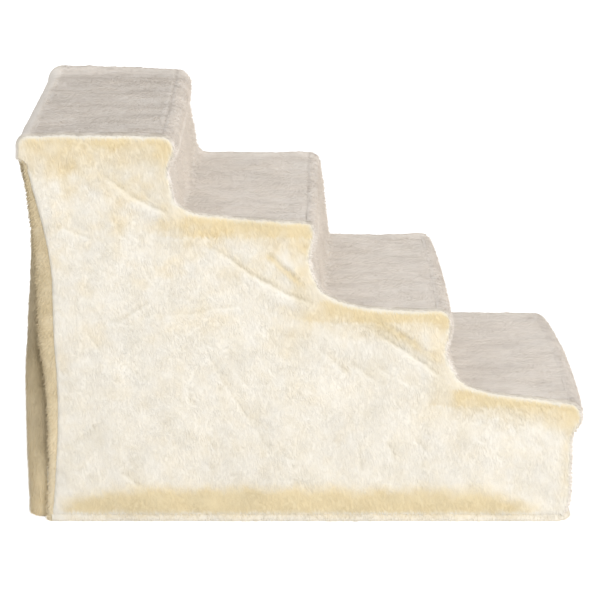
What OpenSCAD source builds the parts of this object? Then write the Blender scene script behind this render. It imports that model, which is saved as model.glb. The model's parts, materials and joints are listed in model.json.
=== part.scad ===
// Four-step pet stairs: a knock-down moulded frame under a removable faux-fur cover.
// Millimetres. +X runs from the back flap to the lowest nose, +Z is up.
// The origin is on the floor, at the centre of the footprint.

/* [Steps] */
// Length over the cover, from the back flap to the lowest nose
overall_l = 711; // [650:1:780]
// Width over the cover
overall_w = 406; // [350:1:470]
// Height of the top tread above the floor
overall_h = 508; // [480:1:560]
// Height of the lowest tread above the floor
first_rise = 157; // [140:1:170]
// Depth of the top tread over the cover
top_depth = 198; // [185:1:220]

/* [Cover] */
// Thickness of the plush, backing and pressed pile together
fur_t = 6; // [4:0.5:7]
// Distance from a nose back to the seam across the tread
seam_back = 20; // [18:1:30]
// Radius of the cover where a riser meets the tread below
cove_r = 18; // [12:1:22]
// How far the cover draws in below a nose
tuck = 6; // [3:0.5:8]
// How far the side panels hang in from the tread edges
side_inset = 3; // [1:0.5:3]
// Height of the folds in the side panels
fold_h = 3; // [1:0.5:3]
// Half-width of a fold in the side panels
fold_w = 16; // [10:1:24]
// Height of the hem roll along the floor
base_hem_h = 9; // [7:0.5:12]
// Width of the hem roll along the floor
base_hem_w = 8; // [6:0.5:8]
// Greatest width of the rolled hem at the back of a side panel
rear_hem_w = 19; // [17:1:22]
// Thickness of the rolled hem at the back of a side panel
rear_hem_t = 13; // [10:0.5:15]
// How far the rear hem is drawn in from the back at most
rear_hem_pull = 42; // [30:1:46]

/* [Back flap] */
// Radius of the flap's vertical corners
flap_corner_r = 20; // [14:1:26]
// How far the flap's returns reach forward of the back
flap_return = 38; // [34:1:42]
// Height of the flap's edge above the floor
flap_lift = 3; // [2:0.5:8]
// How far the flap bows in below its seam
flap_bow = 14; // [2:1:18]
// Gap at the seam that the flap swings on
seam_gap = 0.3; // [0.2:0.05:0.5]
// Thickness of one hook or loop tab
tab_t = 1.2; // [0.8:0.1:1.6]
// Width of a tab
tab_w = 10; // [8:0.5:10]
// Height of a tab
tab_h = 40; // [25:1:50]
// Height of the middle of the lower tabs
low_tab_z = 50; // [40:1:90]
// Distance of the upper tabs' middle below the flap's seam
high_tab_drop = 240; // [230:1:300]

/* [Tread trays] */
// Thickness of a tray's deck
deck_t = 3; // [2.5:0.1:4]
// Thickness of a tray's lip
lip_t = 3; // [2.5:0.1:4]
// Height of a tray's lip, deck included
lip_h = 22; // [18:1:26]
// Radius of a tray's nose
nose_r = 10; // [7:0.5:12]
// Radius of a tray's corners seen from above
tray_corner_r = 14; // [10:1:20]
// Overhang of a nose over its riser panel
nose_over = 12; // [10:1:16]
// Overhang of the top tray behind the side frames
rear_over = 45; // [44:1:60]
// Depth of the ribs below a deck
tray_rib_h = 8; // [6:1:12]

/* [Riser panels] */
// Thickness of a riser panel
riser_t = 3; // [2.5:0.1:4]
// Depth of the ribs behind a riser panel
riser_rib_h = 8; // [6:1:10]
// Width of a riser panel's tongue
tongue_w = 34; // [24:1:44]

/* [Side frames] */
// Thickness of the web
web_t = 3; // [2.5:0.1:4]
// Depth of the rim flange, web included
flange_w = 24; // [22:1:30]
// Thickness of the rim flange
flange_t = 3; // [2.5:0.1:4]
// Thickness of every rib
rib_t = 2.5; // [2:0.1:3]
// Depth of the truss ribs
truss_h = 13; // [8:1:16]
// Radius of the outline's corners
frame_corner_r = 8; // [4:1:12]

/* [Cross rails] */
// Outer radius of a cross rail
rail_r = 11; // [9:0.5:13]
// Wall of a cross rail
rail_wall = 2; // [1.5:0.1:3]
// Wall of a rail socket
socket_wall = 3.5; // [3:0.1:5]
// Distance from a rail's axis to the outline's nearest edges
rail_in = 36; // [32:1:44]

/* [Pins and feet] */
// Radius of a push pin's shank
pin_r = 3; // [2.5:0.1:3.5]
// Radius of a push pin's head
pin_head_r = 5.5; // [4.5:0.1:6]
// Height of a push pin's head
pin_head_h = 1.6; // [1:0.1:2]
// Distance from a deck's top down to its push pins
pin_drop = 14; // [13:0.5:15]
// Height of a rubber foot
foot_h = 6; // [4:0.5:8]
// Radius of a rubber foot
foot_r = 10; // [8:0.5:11]
// Radius of a foot's stem
foot_stem_r = 4; // [3:0.1:5]
// Distance from a foot's axis to the end of its side frame
foot_in = 34; // [26:1:44]

/* [Clearances] */
// Gap between pieces that slide together
fit_gap = 0.4; // [0.3:0.05:0.6]
// Radial gap of a rail, a pin or a stem in its hole
bore_gap = 0.1; // [0.05:0.05:0.2]

/* [Hidden] */
$fn = 48;

frame_colour = "gainsboro";
rail_colour = "silver";
pin_colour = "white";
rubber_colour = "dimgray";
tread_colour = "antiquewhite";
side_colour = "cornsilk";
seam_colour = "wheat";

// Overrun of every cut past the face that it leaves by
cut = 1;
// Steps in each quarter round of the cover's section
quarter_steps = 5;
step_count = 4;

rise = (overall_h - first_rise) / (step_count - 1);
run = (overall_l - top_depth) / (step_count - 1);
back_x = -overall_l / 2;

tray_w = overall_w - 2 * fur_t;
frame_w = tray_w - 2 * (lip_t + fit_gap);
side_y = overall_w / 2;

// Step 1 is the lowest. nose_x and tread_z are on the outside of the cover.
function nose_x(i) = back_x + top_depth + (step_count - i) * run;
function tread_z(i) = first_rise + (i - 1) * rise;
function deck_z(i) = tread_z(i) - fur_t;
function seat_z(i) = deck_z(i) - deck_t;
function tray_nose_x(i) = nose_x(i) - fur_t;
function riser_x(i) = tray_nose_x(i) - nose_over;
function front_x(i) = riser_x(i) - riser_t;
function tray_back_x(i) = i == step_count ? back_x + fur_t : front_x(i + 1);
frame_rear_x = tray_back_x(step_count) + rear_over;
function bay_back_x(i) = i == step_count ? frame_rear_x : front_x(i + 1);
function bay_floor_z(i) = i == 1 ? foot_h : seat_z(i - 1);

hinge_z = deck_z(step_count) - lip_h;
high_tab_z = hinge_z - high_tab_drop;
cover_nose_r = nose_r + fur_t;

function lerp(a, b, share) = a + (b - a) * share;
function unit(v) = v / norm(v);
function left_of(v) = [-v[1], v[0]];
function reversed(list) = [for (k = [len(list) - 1:-1:0]) list[k]];
function arc(centre, r, from, to, steps = quarter_steps) =
    [for (k = [0:steps]) centre + r * [cos(lerp(from, to, k / steps)), sin(lerp(from, to, k / steps))]];

// An arc whose facets touch the circle from outside, so that what it wraps stays clear of it.
function wrap(centre, r, from, to, steps = quarter_steps) =
    let (half = (to - from) / steps / 2)
    arc(centre, r / cos(half), from + half, to - half, steps - 1);

// Offsets a path to its left, with mitred corners.
function mitre(a, b) = (left_of(a) + left_of(b)) / (1 + a * b);
function beside(path, d) = [
    for (k = [0:len(path) - 1])
        let (into = unit(path[max(k, 1)] - path[max(k, 1) - 1]),
             out = unit(path[min(k, len(path) - 2) + 1] - path[min(k, len(path) - 2)]))
        path[k] + d * mitre(into, out)
];
function band(path, d) = concat(path, reversed(beside(path, d)));

// Rounds the outward corners of a closed outline that runs counter-clockwise.
function rounded(points, r, steps = quarter_steps) = [
    for (k = [0:len(points) - 1])
        let (p = points[k],
             a = unit(points[(k + len(points) - 1) % len(points)] - p),
             b = unit(points[(k + 1) % len(points)] - p),
             half = acos(a * b) / 2,
             centre = p + unit(a + b) * r / sin(half),
             start = p + a * r / tan(half) - centre,
             end = p + b * r / tan(half) - centre,
             from = atan2(start[1], start[0]),
             turn = atan2(start[0] * end[1] - start[1] * end[0], start * end),
             is_outward = a[1] * b[0] - a[0] * b[1] > 0)
        each is_outward ? arc(centre, r, from, from + turn, steps) : [p]
];

// Stands an XZ outline up and gives it a depth along +Y, from y = 0.
module upright(depth) {
    rotate([90, 0, 0])
        translate([0, 0, -depth])
            linear_extrude(depth)
                children();
}

// The same outline, centred on the middle plane.
module across(width) {
    translate([0, -width / 2, 0])
        upright(width)
            children();
}

module block(low, high) {
    translate(low)
        cube(high - low);
}

// A round bar along +Y from a point.
module bar_y(start, r, length) {
    translate(start)
        rotate([-90, 0, 0])
            cylinder(r = r, h = length);
}

// Side frames: a web, a rim flange and a truss of ribs, moulded in one.

function frame_outline(inset) = [
    [frame_rear_x + inset, foot_h + inset],
    [front_x(1) - inset, foot_h + inset],
    for (i = [1:step_count])
        each concat([[front_x(i) - inset, seat_z(i) - inset]],
                    i < step_count ? [[front_x(i + 1) - inset, seat_z(i) - inset]] : []),
    [frame_rear_x + inset, seat_z(step_count) - inset]
];

module strip(a, b) {
    side = left_of(unit(b - a)) * rib_t / 2;
    polygon([a + side, b + side, b - side, a - side]);
}

module truss() {
    for (i = [2:step_count])
        strip([front_x(i) - rib_t / 2, foot_h], [front_x(i) - rib_t / 2, seat_z(i - 1)]);
    for (i = [1:step_count - 1])
        strip([frame_rear_x, seat_z(i) - rib_t / 2], [front_x(i + 1), seat_z(i) - rib_t / 2]);
    for (column = [1:step_count], row = [1:column]) {
        strip([bay_back_x(column), bay_floor_z(row)], [front_x(column), seat_z(row)]);
        strip([bay_back_x(column), seat_z(row)], [front_x(column), bay_floor_z(row)]);
    }
}

// Rail axes, as [x, z].
rear_top_at = [frame_rear_x + rail_in, seat_z(step_count) - rail_in];
rear_base_at = [frame_rear_x + rail_in, foot_h + rail_in];
front_base_at = [front_x(1) - rail_in, foot_h + rail_in];
middle_base_at = [lerp(rear_base_at[0], front_base_at[0], 1 / 2), foot_h + rail_in];
middle_upper_at = [front_x(3) - rail_in, seat_z(3) - rail_in];
rails_at = [rear_top_at, rear_base_at, middle_base_at, front_base_at, middle_upper_at];

socket_r = rail_r + bore_gap;
rail_l = frame_w - 2 * (web_t + fit_gap);

// Push pins: two through each side lip of each tray, near the ends of its bay.
pin_place_shares = [0.27, 0.73];
function tray_pin_x(i, share) = lerp(bay_back_x(i), front_x(i), share);
function tray_pin_z(i) = deck_z(i) - pin_drop;
riser_pin_zs = [rail_in, first_rise / 2];
riser_pin_in = flange_w / 2;

foot_xs = [frame_rear_x + foot_in, front_x(1) - foot_in];
foot_y = frame_w / 2 - flange_w / 2;

module near_frame() {
    difference() {
        translate([0, -frame_w / 2, 0]) {
            upright(web_t)
                polygon(rounded(frame_outline(0), frame_corner_r));
            upright(flange_w)
                difference() {
                    polygon(rounded(frame_outline(0), frame_corner_r));
                    polygon(rounded(frame_outline(flange_t), frame_corner_r - flange_t));
                }
            upright(web_t + truss_h)
                difference() {
                    intersection() {
                        polygon(rounded(frame_outline(flange_t / 2), frame_corner_r));
                        truss();
                    }
                    for (at = rails_at)
                        translate(at)
                            circle(socket_r + socket_wall / 2);
                }
            for (at = rails_at)
                bar_y([at[0], 0, at[1]], socket_r + socket_wall, flange_w);
        }
        for (at = rails_at)
            bar_y([at[0], -frame_w / 2 + web_t, at[1]], socket_r, flange_w + cut);
        for (i = [1:step_count], share = pin_place_shares)
            bar_y([tray_pin_x(i, share), -frame_w / 2 - cut, tray_pin_z(i)],
                  pin_r + bore_gap, web_t + 2 * cut);
        for (z = riser_pin_zs)
            translate([front_x(1) - flange_t - cut, -frame_w / 2 + riser_pin_in, z])
                rotate([0, 90, 0])
                    cylinder(r = pin_r + bore_gap, h = flange_t + 2 * cut);
        for (x = foot_xs)
            translate([x, -foot_y, foot_h - cut])
                cylinder(r = foot_stem_r + bore_gap, h = flange_t + 2 * cut);
    }
}

module side_frame(near) {
    color(frame_colour)
        mirror([0, near ? 0 : 1, 0])
            near_frame();
}

// Tread trays: a deck with a rounded nose, lips, ribs below and notches for the riser above.

// A section with a rounded upper front edge and, on the top tray, a rounded upper back edge.
module tray_section(i, inset) {
    r = nose_r - inset;
    low = deck_z(i) - lip_h - (inset > 0 ? cut : 0);
    high = deck_z(i) - (inset > 0 ? deck_t : 0);
    front = tray_nose_x(i) - inset;
    is_top = i == step_count;
    back = tray_back_x(i) + (is_top ? inset : 0) - (!is_top && inset > 0 ? cut : 0);
    difference() {
        translate([back, low])
            square([front - back, high - low]);
        translate([front - r, high - r])
            difference() {
                square(r + cut);
                circle(r);
            }
        if (is_top)
            translate([back + r, high - r])
                mirror([1, 0])
                    difference() {
                        square(r + cut);
                        circle(r);
                    }
    }
}

module tray_plan(i, inset) {
    r = tray_corner_r - inset;
    back = tray_back_x(i) + (i == step_count ? inset : -tray_corner_r);
    size = [tray_nose_x(i) - inset - back, tray_w - 2 * inset];
    translate([back, -size[1] / 2])
        union() {
            translate([r, 0]) square([size[0] - 2 * r, size[1]]);
            translate([0, r]) square([size[0], size[1] - 2 * r]);
            for (x = [r, size[0] - r], y = [r, size[1] - r])
                translate([x, y]) circle(r);
        }
}

module tray_body(i, inset) {
    intersection() {
        across(tray_w - 2 * inset)
            tray_section(i, inset);
        translate([0, 0, deck_z(i) - lip_h - 2 * cut])
            linear_extrude(lip_h + 3 * cut)
                tray_plan(i, inset);
    }
}

tray_rib_rows = 5;
tray_rib_columns = 3;
locating_rib_h = 5;
tongue_y_shares = [-0.25, 0.25];

module tray_ribs(i) {
    from_x = bay_back_x(i) + rib_t;
    to_x = front_x(i) - riser_rib_h - 2 * fit_gap;
    half_w = frame_w / 2 - flange_w - rib_t;
    low = seat_z(i) - tray_rib_h;
    for (k = [0:tray_rib_rows - 1])
        translate([from_x, lerp(-half_w, half_w - rib_t, k / (tray_rib_rows - 1)), low])
            cube([to_x - from_x, rib_t, tray_rib_h + deck_t / 2]);
    for (k = [0:tray_rib_columns - 1])
        translate([lerp(from_x, to_x - rib_t, k / (tray_rib_columns - 1)), -half_w, low])
            cube([rib_t, 2 * half_w, tray_rib_h + deck_t / 2]);
    translate([riser_x(i) + fit_gap, -half_w, seat_z(i) - locating_rib_h])
        cube([rib_t, 2 * half_w, locating_rib_h + deck_t / 2]);
}

module tread_tray(i) {
    color(frame_colour)
        difference() {
            union() {
                difference() {
                    tray_body(i, 0);
                    tray_body(i, lip_t);
                }
                tray_ribs(i);
            }
            if (i < step_count)
                for (share = tongue_y_shares)
                    block([tray_back_x(i) - cut, share * tray_w - tongue_w / 2 - fit_gap, seat_z(i) - cut],
                          [riser_x(i + 1) + fit_gap, share * tray_w + tongue_w / 2 + fit_gap, deck_z(i) + cut]);
            for (share = pin_place_shares)
                bar_y([tray_pin_x(i, share), -tray_w / 2 - cut, tray_pin_z(i)],
                      pin_r + bore_gap, tray_w + 2 * cut);
        }
}

// Riser panels: each stands on the tray below and reaches up under the nose above it.

riser_rib_count = 6;

module riser_panel(i) {
    low = i == 1 ? foot_h : deck_z(i - 1);
    half_w = frame_w / 2 - flange_w - rib_t;
    color(frame_colour)
        difference() {
            union() {
                block([front_x(i), -frame_w / 2, low], [riser_x(i), frame_w / 2, seat_z(i)]);
                for (k = [0:riser_rib_count - 1])
                    translate([front_x(i) - riser_rib_h, lerp(-half_w, half_w - rib_t, k / (riser_rib_count - 1)), low])
                        cube([riser_rib_h + riser_t / 2, rib_t, seat_z(i) - low - tray_rib_h]);
                if (i > 1)
                    for (share = tongue_y_shares)
                        block([front_x(i), share * tray_w - tongue_w / 2, seat_z(i - 1)],
                              [riser_x(i), share * tray_w + tongue_w / 2, low + riser_t / 2]);
            }
            if (i == 1)
                for (side = [-1, 1], z = riser_pin_zs)
                    translate([front_x(1) - cut, side * (frame_w / 2 - riser_pin_in), z])
                        rotate([0, 90, 0]) {
                            cylinder(r = pin_r + bore_gap, h = riser_t + 2 * cut);
                            translate([0, 0, cut + riser_t - pin_head_h - bore_gap])
                                cylinder(r = pin_head_r + bore_gap, h = pin_head_h + bore_gap + cut);
                        }
        }
}

// Cross rails: tubes that end in the side frames' sockets.

module rail(at) {
    color(rail_colour)
        difference() {
            bar_y([at[0], -rail_l / 2, at[1]], rail_r, rail_l);
            bar_y([at[0], -rail_l / 2 - cut, at[1]], rail_r - rail_wall, rail_l + 2 * cut);
        }
}

// A push pin along +Z: its head is below z = 0, and its split shank reaches up.
pin_split_share = 0.3;
pin_tip_share = 0.75;

module push_pin(length) {
    split = pin_r * pin_split_share;
    translate([0, 0, -pin_head_h])
        cylinder(r = pin_head_r, h = pin_head_h);
    difference() {
        union() {
            cylinder(r = pin_r, h = length - pin_r / 2);
            translate([0, 0, length - pin_r / 2])
                cylinder(r1 = pin_r, r2 = pin_r * pin_tip_share, h = pin_r / 2);
        }
        translate([-split / 2, -pin_r - cut, length / 2])
            cube([split, 2 * (pin_r + cut), length]);
    }
}

module tray_pins() {
    length = web_t + fit_gap + lip_t;
    color(pin_colour)
        for (i = [1:step_count], share = pin_place_shares, side = [-1, 1])
            translate([tray_pin_x(i, share), side * (frame_w / 2 - web_t), tray_pin_z(i)])
                rotate([-side * 90, 0, 0])
                    push_pin(length);
}

module riser_pins() {
    length = riser_t - pin_head_h + flange_t;
    color(pin_colour)
        for (side = [-1, 1], z = riser_pin_zs)
            translate([riser_x(1) - pin_head_h, side * (frame_w / 2 - riser_pin_in), z])
                rotate([0, -90, 0])
                    push_pin(length);
}

// Rubber feet: a pad, a stem through the flange and a bulb that holds it.
foot_bulb_r = foot_stem_r * 1.25;
foot_edge_r = foot_h / 4;

module foot(near, front) {
    color(rubber_colour)
        translate([foot_xs[front ? 1 : 0], near ? -foot_y : foot_y, 0]) {
            cylinder(r1 = foot_r - foot_edge_r, r2 = foot_r, h = foot_edge_r);
            translate([0, 0, foot_edge_r])
                cylinder(r = foot_r, h = foot_h - foot_edge_r);
            cylinder(r = foot_stem_r, h = foot_h + flange_t);
            translate([0, 0, foot_h + flange_t])
                cylinder(r1 = foot_bulb_r, r2 = foot_stem_r / 2, h = foot_stem_r);
        }
}

// Cover, treads and risers: strips of plush between the side panels.

lip_drop = fur_t + lip_h;
// The cover turns in this far below a tread, clear of the lip.
turn_drop = lip_drop + fur_t / 2;
first_tuck = nose_over;
cove_out = tuck / 5;
function riser_tuck(i) = i == 1 ? first_tuck : tuck;
function cove_x(i) = nose_x(i) - cove_out;

// The outside of a riser strip, from the seam on its tread down to the tread below or the hem.
function riser_path(i) = concat(
    [[nose_x(i) - seam_back, tread_z(i)]],
    wrap([nose_x(i) - cover_nose_r, tread_z(i) - cover_nose_r], cover_nose_r, 90, 0),
    [[nose_x(i), tread_z(i) - turn_drop],
     [nose_x(i) - riser_tuck(i), tread_z(i) - turn_drop - first_tuck]],
    i == 1 ? [[nose_x(i) - riser_tuck(i), base_hem_h]]
           : arc([cove_x(i) + cove_r, tread_z(i - 1) + cove_r], cove_r, 180, 270)
);

module riser_fur(i) {
    color(tread_colour)
        across(tray_w)
            polygon(band(riser_path(i), -fur_t));
}

module tread_fur(i) {
    from_x = i == step_count ? back_x + seam_back : cove_x(i + 1) + cove_r;
    color(tread_colour)
        block([from_x, -tray_w / 2, deck_z(i)], [nose_x(i) - seam_back, tray_w / 2, tread_z(i)]);
}

// The strip over the top tray's back lip, from the seam down to the flap's seam.
module rear_band() {
    path = concat(
        [[back_x + seam_back, tread_z(step_count)]],
        wrap([back_x + cover_nose_r, tread_z(step_count) - cover_nose_r], cover_nose_r, 90, 180),
        [[back_x, hinge_z]]
    );
    color(tread_colour)
        across(tray_w)
            polygon(band(path, fur_t));
}

// Cover, side panels: one sheet a side, cut to the stairs and hanging in shallow folds.

// How far the rear edge is drawn in, by share of the flap's height.
rear_pull_shares = [
    [0, 0.7], [0.12, 0.84], [0.25, 0.95], [0.34, 0.98], [0.48, 0.93],
    [0.61, 0.91], [0.75, 0.84], [0.82, 0.69], [0.88, 0.56], [1, 0.3]
];
function rear_edge_x(z) =
    z > hinge_z ? back_x : back_x + rear_hem_pull * lookup(max(z, base_hem_h) / hinge_z, rear_pull_shares);

// The edge of the side panel at the front of step i. Step 5 stands for the back edge.
function tuck_at(i, drop) =
    lookup(drop, [[turn_drop, 0], [turn_drop + first_tuck, 1]]) * riser_tuck(i)
    - (i == 1 ? 0 : lookup(drop, [[turn_drop + first_tuck, 0], [rise - cove_r, 1]]) * (tuck - cove_out));
function panel_edge_x(i, z) =
    i > step_count ? rear_edge_x(z) : nose_x(i) - tuck_at(i, tread_z(i) - z);

// Grid lines: seven to a step along X, six to a step along Z.
column_shares = [0, cove_r / run, 0.3, 0.48, 0.64, 0.8, 1 - cover_nose_r / run];
columns = len(column_shares);
function step_rows(low, high) = [
    low,
    low + cove_r,
    lerp(low + cove_r, high - lip_drop, 1 / 3),
    lerp(low + cove_r, high - lip_drop, 2 / 3),
    high - lip_drop,
    high - cover_nose_r
];
row_zs = concat(
    step_rows(base_hem_h, tread_z(1)),
    [for (i = [2:step_count]) each step_rows(tread_z(i - 1), tread_z(i))],
    [tread_z(step_count)]
);
rows = (len(row_zs) - 1) / step_count;
last_column = columns * step_count;
last_row = rows * step_count;

function step_of_column(j) = step_count - floor(min(j, last_column - 1) / columns);
function has_cell(j, m) =
    j >= 0 && j < last_column && m >= 0 && m < last_row && m < rows * step_of_column(j);

// Where a grid point lies, with the corners at the noses and coves eased to their radii.
corner_share = 1 - cos(45);
function is_nose(j, m) = j % columns == 0 && j > 0 && m == rows * (step_count + 1 - j / columns);
function is_cove(j, m) = j % columns == 0 && j > 0 && j < last_column && m == rows * (step_count - j / columns);
function eased(j, m) =
    is_nose(j, m) ? -[cover_nose_r, cover_nose_r] * corner_share
    : is_cove(j, m) ? [cove_r, cove_r] * corner_share
    : (j == 0 && m == last_row) ? [cover_nose_r, -cover_nose_r] * corner_share
    : [0, 0];
function grid_xz(j, m) =
    let (i = step_of_column(j),
         k = j - columns * (step_count - i),
         share = k == columns ? 1 : column_shares[k],
         z = row_zs[m])
    [lerp(panel_edge_x(i + 1, z), panel_edge_x(i, z), share), z] + eased(j, m);

// Long folds that fan down and forward from the coves, as [from, to, height share].
// Each end is [run shares from the back, rise shares from the floor].
folds = [
    [[0.42, 3.60], [1.18, 2.86], 1.0],
    [[1.30, 2.98], [2.15, 2.02], 1.0],
    [[1.95, 2.70], [2.32, 2.25], 0.8],
    [[2.20, 2.05], [2.98, 1.28], 1.0],
    [[0.15, 2.60], [0.75, 2.10], 0.6],
    [[1.05, 1.90], [1.60, 0.95], 0.7],
    [[0.55, 1.45], [0.95, 0.55], 0.7],
    [[2.35, 1.00], [2.75, 0.45], 0.6],
    [[3.20, 0.85], [3.65, 0.40], 0.5]
];
function fold_point(shares) = [back_x + shares[0] * run, shares[1] * rise];
function off_line(p, a, b) =
    let (along = max(0, min(1, (p - a) * (b - a) / ((b - a) * (b - a)))))
    norm(p - lerp(a, b, along));
function fold_at(p) = max([
    for (f = folds)
        f[2] * exp(-pow(off_line(p, fold_point(f[0]), fold_point(f[1])) / fold_w, 2))
]);

// The panel keeps to the tread edges' plane over the lips and risers, and hangs in elsewhere.
seat_margin = fold_w * 1.6;
function off_box(p, low, high) =
    norm([max(low[0] - p[0], p[0] - high[0], 0), max(low[1] - p[1], p[1] - high[1], 0)]);
function seat_distance(p) = min([
    for (i = [1:step_count])
        min(off_box(p, [tray_back_x(i), tread_z(i) - lip_drop], [nose_x(i), tread_z(i)]),
            off_box(p, [front_x(i), i == 1 ? 0 : tread_z(i - 1)], [nose_x(i), tread_z(i)]))
]);
edge_distance_share = 0.5;
function hang(p, m) =
    m == 0 ? 0
    : min(1, max(0, seat_distance(p) - seat_margin) / seat_margin)
      * min(1, max(0, p[0] - rear_edge_x(p[1])) / seat_margin * edge_distance_share);
function panel_y(p, m) = -side_y + hang(p, m) * (side_inset - fold_h * fold_at(p));

function grid_at(j, m) = j * (last_row + 1) + m;
grid_size = (last_column + 1) * (last_row + 1);
panel_points = [
    for (depth = [0, fur_t], j = [0:last_column], m = [0:last_row])
        let (p = grid_xz(j, m))
        [p[0], panel_y(p, m) + depth, p[1]]
];
function two(a, b, c, d) = [[a, b, c], [a, c, d]];
function wall(a, b) = two(a, b, b + grid_size, a + grid_size);
panel_faces = [
    for (j = [0:last_column - 1], m = [0:last_row - 1])
        if (has_cell(j, m))
            let (a = grid_at(j, m), b = grid_at(j, m + 1), c = grid_at(j + 1, m + 1), d = grid_at(j + 1, m),
                 g = grid_size)
            each concat(
                two(a, b, c, d),
                two(a + g, d + g, c + g, b + g),
                has_cell(j - 1, m) ? [] : wall(b, a),
                has_cell(j, m + 1) ? [] : wall(c, b),
                has_cell(j + 1, m) ? [] : wall(d, c),
                has_cell(j, m - 1) ? [] : wall(a, d)
            )
];

module side_fur(near) {
    color(side_colour)
        mirror([0, near ? 0 : 1, 0])
            polyhedron(panel_points, panel_faces);
}

// Cover, hems: rolls at the back edges of the side panels and along the floor.

// The rear hem's width, by share of the flap's height.
rear_width_shares = [
    [0, 0.4], [0.12, 0.45], [0.25, 0.6], [0.43, 0.8], [0.56, 0.95],
    [0.68, 1], [0.75, 0.9], [0.82, 0.7], [0.88, 0.5], [1, 0.3]
];
function rear_hem_width(z) = rear_hem_w * lookup(z / hinge_z, rear_width_shares);

// The rear hem's section in plan at a height. Its flat front meets the side panel.
rear_roll_r = rear_hem_t * 0.38;
roll_steps = 3;
function rear_hem_section(z) =
    let (front = rear_edge_x(z),
         back = front - rear_hem_width(z))
    concat(
        [[front, -side_y + rear_hem_t], [front, -side_y]],
        arc([back + rear_roll_r, -side_y + rear_roll_r], rear_roll_r, 270, 180, roll_steps),
        arc([back + rear_roll_r, -side_y + rear_hem_t - rear_roll_r], rear_roll_r, 180, 90, roll_steps)
    );
hem_zs = concat([0], [for (z = row_zs) if (z <= hinge_z) z]);

// Joins rings of as many points, and closes a loft with whole ends or, where its rings are bands,
// from edge to edge.
function loft_walls(n, rings) = [
    for (r = [0:rings - 2], k = [0:n - 1])
        each two(r * n + k, (r + 1) * n + k, (r + 1) * n + (k + 1) % n, r * n + (k + 1) % n)
];
function loft_faces(n, rings) = concat(
    [[for (k = [0:n - 1]) k], [for (k = [n - 1:-1:0]) (rings - 1) * n + k]],
    loft_walls(n, rings)
);
function band_loft_faces(n, rings) =
    let (top = (rings - 1) * n)
    concat(
        [for (k = [0:n / 2 - 2])
            each concat(two(k, k + 1, n - 2 - k, n - 1 - k),
                        two(top + n - 1 - k, top + n - 2 - k, top + k + 1, top + k))],
        loft_walls(n, rings)
    );

module rear_hem(near) {
    n = len(rear_hem_section(0));
    color(seam_colour)
        mirror([0, near ? 0 : 1, 0])
            polyhedron(
                [for (z = hem_zs, p = rear_hem_section(z)) [p[0], p[1], z]],
                [for (f = loft_faces(n, len(hem_zs))) reversed(f)]
            );
}

hem_roll_r = base_hem_w * 0.36;
front_hem_x = nose_x(1) - first_tuck;
hem_flare = base_hem_w - fur_t;

function hem_box(low, high) =
    rounded([low, [high[0], low[1]], high, [low[0], high[1]]], hem_roll_r, roll_steps);

module base_hem_side(near) {
    from_x = rear_edge_x(0);
    color(seam_colour)
        mirror([0, near ? 0 : 1, 0])
            translate([from_x, 0, 0])
                rotate([90, 0, 90])
                    linear_extrude(front_hem_x + hem_flare - from_x)
                        polygon(hem_box([-side_y, 0], [-side_y + base_hem_w, base_hem_h]));
}

module base_hem_front() {
    color(seam_colour)
        across(overall_w - 2 * base_hem_w)
            polygon(hem_box([front_hem_x + hem_flare - base_hem_w, 0], [front_hem_x + hem_flare, base_hem_h]));
}

// Back flap: it hangs from the rear band's edge, its returns inside the rear hems. Its back bows in
// where nothing holds it out.

flap_half_w = side_y - rear_hem_t - 2 * tab_t - fit_gap;
return_x = back_x + flap_return;
flap_top_z = hinge_z - seam_gap;
return_slope = flap_return * 2;

flap_path = concat(
    [[return_x, -flap_half_w]],
    arc([back_x + flap_corner_r, -flap_half_w + flap_corner_r], flap_corner_r, 270, 180),
    arc([back_x + flap_corner_r, flap_half_w - flap_corner_r], flap_corner_r, 180, 90),
    [[return_x, flap_half_w]]
);
flap_band = band(flap_path, -fur_t);
// The bow, by share of the height of the flap's seam.
flap_bow_shares = [
    [0, 0], [0.37, 0], [0.48, 0.2], [0.62, 0.65], [0.73, 0.9],
    [0.8, 1], [0.86, 0.93], [0.92, 0.6], [0.965, 0.25], [1, 0]
];
function flap_top(p) = flap_top_z - return_slope * (p[0] - back_x) / flap_return;
function flap_row(share) = [
    for (k = [0:len(flap_band) - 1])
        let (edge = flap_path[min(k, len(flap_band) - 1 - k)],
             z = lerp(flap_lift, flap_top(edge), share),
             bow = edge[0] < return_x ? flap_bow * lookup(z / hinge_z, flap_bow_shares) : 0)
        [flap_band[k][0] + bow, flap_band[k][1], z]
];

module back_flap() {
    color(side_colour)
        polyhedron(
            [for (row = flap_bow_shares) each flap_row(row[0])],
            [for (f = band_loft_faces(len(flap_band), len(flap_bow_shares))) reversed(f)]
        );
}

// Hook tabs on the flap's returns and loop tabs on the rear hems face each other.
module tabs(inner_y, tab_colour) {
    color(tab_colour)
        for (z = [low_tab_z, high_tab_z], side = [-1, 1])
            translate([rear_edge_x(z) - rear_hem_width(z) / 2, side * (inner_y + tab_t / 2), z])
                cube([tab_w, tab_t, tab_h], center = true);
}

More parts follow.
